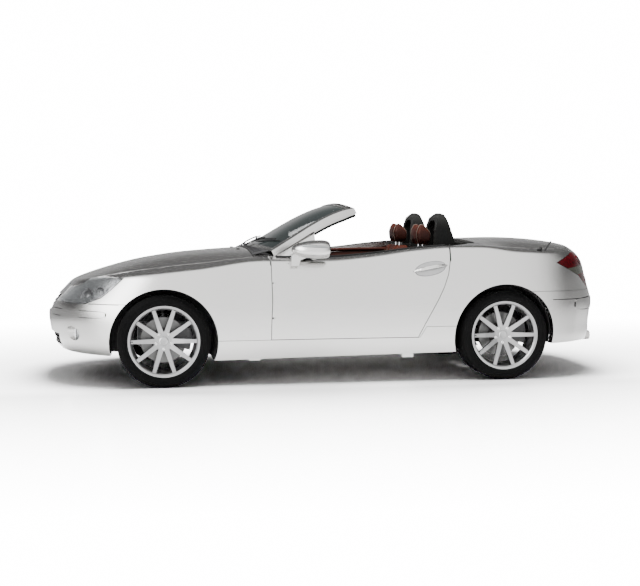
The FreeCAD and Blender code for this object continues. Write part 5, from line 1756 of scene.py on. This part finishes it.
@dataclass
class CabinFittings:
    """Belts, carpets, pedals, instruments, vents and the lever's boot."""

    wheel_centre: Point = (0.020, 0.360, 0.800)
    column_aim: Point = (-0.90631, 0.0, 0.42262)
    dash_x: float = 0.194
    vents: tuple[Pair, ...] = ((0.62, 0.775), (0.10, 0.775), (-0.10, 0.775), (-0.62, 0.775))
    vent_radius: float = 0.040

    def build(self, looks: Palette) -> None:
        """Make them all."""
        self._carpets(looks)
        self._belts(looks)
        self._pedals(looks)
        self._wheel(looks)
        self._dials(looks)
        self._vents(looks)
        self._stack(looks)
        self._lever(looks)
        self._glovebox(looks)

    def _carpets(self, looks: Palette) -> None:
        """Carpets over the floor and tunnel, and loose mats."""
        Bench.both(Bench.block("carpet", (-0.985, 0.123, 0.2045), (0.563, 0.7205, 0.211), 0.002, 2),
                   looks.carpet)
        mat = Bench.block("floor_mat", (0.02, 0.15, 0.210), (0.50, 0.66, 0.219), 0.004)
        Bench.both(mat, looks.mat)
        inner, outer, low, high = 0.1195, 0.1265, 0.206, 0.3305
        ring = [(outer, low), (outer, high + 0.007), (-outer, high + 0.007), (-outer, low), (-inner, low),
                (-inner, high), (inner, high), (inner, low)]
        tunnel = Bench.plate("tunnel_carpet", [(-0.955, y, z) for y, z in ring], (1.515, 0, 0), 0.0015, 1)
        Bench.finish(tunnel, looks.carpet)

    def _belts(self, looks: Palette) -> None:
        """Belt from the rear quarter down beside the seat, with its guide."""
        path = [(-0.845, 0.655, 0.935), (-0.80, 0.652, 0.93), (-0.75, 0.65, 0.86), (-0.70, 0.645, 0.70),
                (-0.655, 0.64, 0.52), (-0.63, 0.635, 0.37), (-0.62, 0.635, 0.30)]
        rows = [(Vector(p) + Vector((0.023, 0, 0.004)), Vector(p) - Vector((0.023, 0, 0.004))) for p in path]
        Bench.both(Bench.strap("seat_belt", rows, 0.0018), looks.webbing)
        guide = Bench.block("belt_guide", (-0.88, 0.62, 0.917), (-0.80, 0.69, 0.944), 0.008, 3)
        Bench.both(guide, looks.trim)
        catch = Bench.block("belt_tongue", (-0.72, 0.640, 0.66), (-0.67, 0.650, 0.70), 0.003)
        Bench.both(catch, looks.steel)

    def _pedals(self, looks: Palette) -> None:
        """Two pedals with ribbed pads."""
        for name, y, wide, z in (("brake", 0.40, 0.042, 0.33), ("throttle", 0.25, 0.024, 0.30)):
            pad = Bench.block("pad", (0.430, y - wide, z - 0.04), (0.442, y + wide, z + 0.04), 0.004)
            ribs = [Bench.block("rib", (0.426, y - wide + 0.006, z - 0.030 + 0.015 * i),
                                (0.431, y + wide - 0.006, z - 0.023 + 0.015 * i), 0.002, 1) for i in range(5)]
            arm = Bench.tube("arm",
                             [(0.441, y, z), (0.48, y, z + 0.04), (0.535, y, z + 0.16), (0.55, y, z + 0.24)],
                             0.008)
            Bench.finish(Bench.joined("pedal_" + name, [pad, arm] + ribs), looks.plastic)

    def _wheel(self, looks: Palette) -> None:
        """Centre pad of the steering wheel, its trim, and the stalks behind it."""
        pad = [(0.060, -0.030), (0.062, 0.004), (0.058, 0.013), (0.040, 0.020), (0.020, 0.023), (0, 0.024)]
        Bench.finish(Bench.turned("wheel_pad", pad, self.wheel_centre, self.column_aim, 44), looks.trim,
                     Body.STEERING)
        ring = [(0.030, 0.0205), (0.030, 0.0232), (0.026, 0.0245), (0, 0.0252)]
        cap = Bench.turned("wheel_pad_ring", ring, self.wheel_centre, self.column_aim, 36)
        Bench.finish(cap, looks.alloy, Body.STEERING)
        aim, centre = Vector(self.column_aim), Vector(self.wheel_centre)
        up = Vector((aim.z, 0.0, -aim.x))
        for name, sign in (("left", 1.0), ("right", -1.0)):
            side = Vector((0, sign, 0))
            root = centre - aim * 0.088
            stalk = [root + side * 0.022, root + side * 0.07 + up * 0.008,
                     root + side * 0.135 + up * 0.018 + aim * 0.012]
            Bench.finish(Bench.tube("stalk_" + name, stalk, 0.0065, sides=3), looks.plastic)
            spoke = [centre + side * 0.060 - aim * 0.004, centre + side * 0.165 - aim * 0.004]
            trim = Bench.strap("spoke_trim_" + name, [(p + up * 0.010, p - up * 0.010) for p in spoke], 0.018)
            Bench.finish(trim, looks.alloy, Body.STEERING)

    def _dials(self, looks: Palette) -> None:
        """Two round instruments under the hood, each with a ring and a needle."""
        axis = Vector((-0.988, 0, 0.152))
        for i, y in enumerate((0.425, 0.295)):
            centre = Vector((0.1845, y, 0.880))
            face = Bench.turned("dial_face_%d" % i, [(0.030, -0.006), (0.030, 0.001), (0, 0.001)], centre,
                                axis, 40)
            Bench.finish(face, looks.dial)
            ring = Bench.turned("dial_ring_%d" % i, [(0.0335, -0.006), (0.0335, 0.004), (0.0305, 0.005),
                                                     (0.0300, 0.0012), (0, 0.0012)], centre, axis, 40)
            Bench.finish(ring, looks.chrome)
            tip = centre + axis * 0.003 + Vector((0, 0.016 - 0.03 * i, 0.012))
            Bench.finish(Bench.tube("needle_%d" % i, [centre + axis * 0.003, tip], 0.0010, smooth=False),
                         looks.red)
            marks = []
            for k in range(13):
                a = math.radians(-40 + 260 * k / 12)
                way = Vector((0.152 * math.sin(a), math.cos(a), math.sin(a) * 0.988))
                ends = [centre + axis * 0.0022 + way * far for far in (0.0235, 0.028)]
                marks.append(Bench.tube("mark", ends, 0.0006, smooth=False, sides=0))
            Bench.finish(Bench.joined("dial_marks_%d" % i, marks), looks.white)

    def _vents(self, looks: Palette) -> None:
        """Round air vents with slats, in the dashboard's face."""
        for i, (y, z) in enumerate(self.vents):
            centre = (self.dash_x - 0.001, y, z)
            r = self.vent_radius
            ring = [(r, -0.004), (r, 0.007), (r * 0.92, 0.010), (r * 0.84, 0.007), (r * 0.82, 0.001),
                    (0, 0.001)]
            body = Bench.turned("vent_ring_%d" % i, ring, centre, (-1, 0, 0), 40)
            Bench.finish(body, looks.alloy)
            slats = []
            for k in range(-2, 3):
                half = math.sqrt(max(0.0, (r * 0.82) ** 2 - (0.012 * k) ** 2)) - 0.001
                slats.append(Bench.block("slat", (centre[0] - 0.0075, y - half, z + 0.012 * k - 0.0012),
                                         (centre[0] - 0.001, y + half, z + 0.012 * k + 0.0012)))
            slats.append(Bench.turned("knob", [(0.007, 0.002), (0.007, 0.010), (0, 0.011)], centre,
                                      (-1, 0, 0), 20))
            Bench.finish(Bench.joined("vent_slats_%d" % i, slats), looks.plastic)

    def _stack(self, looks: Palette) -> None:
        """Radio and climate panels down the middle."""
        low, high = Vector((0.074, 0, 0.462)), Vector((0.176, 0, 0.592))
        way = (high - low).normalized()
        out = Vector((-way.z, 0, way.x))
        corners = [low + Vector((0, -0.082, 0)), low + Vector((0, 0.082, 0)), high + Vector((0, 0.082, 0)),
                   high + Vector((0, -0.082, 0))]
        panel = Bench.plate("stack_panel", [c - out * 0.003 for c in corners], out * 0.009, 0.003, 3)
        Bench.finish(panel, looks.gloss)
        knobs, keys = [], []
        for y in (-0.055, 0.055):
            for share in (0.28, 0.72):
                spot = low.lerp(high, share) + Vector((0, y, 0)) + out * 0.006
                knobs.append(Bench.turned("knob", [(0.014, 0), (0.013, 0.010), (0.010, 0.012), (0, 0.012)],
                                          spot,
                                          out, 28))
        for row in range(4):
            for column in range(3):
                spot = low.lerp(high,
                                0.16 + 0.22 * row) + Vector((0, -0.024 + 0.024 * column, 0)) + out * 0.0055
                half, tall = Vector((0, 0.010, 0)), way * 0.008
                ring = [spot - half - tall, spot + half - tall, spot + half + tall, spot - half + tall]
                keys.append(Bench.plate("key", ring, out * 0.003, 0.001, 1))
        Bench.finish(Bench.joined("stack_knobs", knobs), looks.alloy)
        Bench.finish(Bench.joined("stack_keys", keys), looks.trim)

    def _lever(self, looks: Palette) -> None:
        """Folded boot and ring of the gear lever, and the handbrake."""
        boot = [(0.052, 0.0), (0.050, 0.010), (0.040, 0.018), (0.043, 0.024), (0.030, 0.034), (0.032, 0.040),
                (0.020, 0.052), (0.013, 0.070), (0, 0.071)]
        place = (-0.062, 0.0, 0.446)
        Bench.finish(Bench.turned("lever_boot", boot, place, (-0.16, 0, 0.99), 36), looks.leather_dark)
        ring = [(0.060, -0.004), (0.060, 0.006), (0.054, 0.010), (0.050, 0.004), (0, 0.004)]
        Bench.finish(Bench.turned("lever_ring", ring, place, (0.04, 0, 0.99), 40), looks.alloy)
        lid = Bench.block("console_lid", (-0.52, -0.088, 0.497), (-0.26, 0.088, 0.514), 0.007, 4)
        Bench.finish(lid, looks.leather)

    def _glovebox(self, looks: Palette) -> None:
        """Glovebox lid's joint and button on the passenger side."""
        skin = Skin("dashboard")
        starts = [(-0.2, -0.37 + u, 0.655 + v) for u, v in oval(36, 0.19, 0.055, (0.35, 0.4))]
        joint = Bench.tube("glovebox_joint", skin.line(starts, (1, 0, 0), 0.0), 0.0016, ring=True)
        Bench.finish(joint, looks.groove)
        place, normal = skin.hit((-0.2, -0.37, 0.70), (1, 0, 0))
        Bench.finish(Bench.turned("glovebox_button", [(0.010, -0.002), (0.010, 0.004), (0, 0.005)], place,
                                  normal, 24), looks.chrome)


def main() -> None:
    """Build and dress the car."""
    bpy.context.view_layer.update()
    Bench.clear()
    looks = Palette()
    for group in (Bodywork(), Cabin(), RunningGear()):
        group.dress(looks)
        LOG.info("dressed %s", type(group).__name__)
    for group in (ScreenFittings(), DoorFittings(), OuterTrim(), WheelTrim(), Upholstery(), CabinFittings()):
        group.build(looks)
        LOG.info("built %s", type(group).__name__)
    Studio().build()


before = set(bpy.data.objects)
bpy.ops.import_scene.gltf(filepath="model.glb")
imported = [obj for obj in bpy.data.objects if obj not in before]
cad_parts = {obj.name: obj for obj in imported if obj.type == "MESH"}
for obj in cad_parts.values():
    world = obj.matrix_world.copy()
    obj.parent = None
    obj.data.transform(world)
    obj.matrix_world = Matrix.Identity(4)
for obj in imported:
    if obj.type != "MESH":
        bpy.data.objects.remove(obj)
if __name__ == "__main__":
    logging.basicConfig(level=logging.INFO, format="%(message)s")
    main()
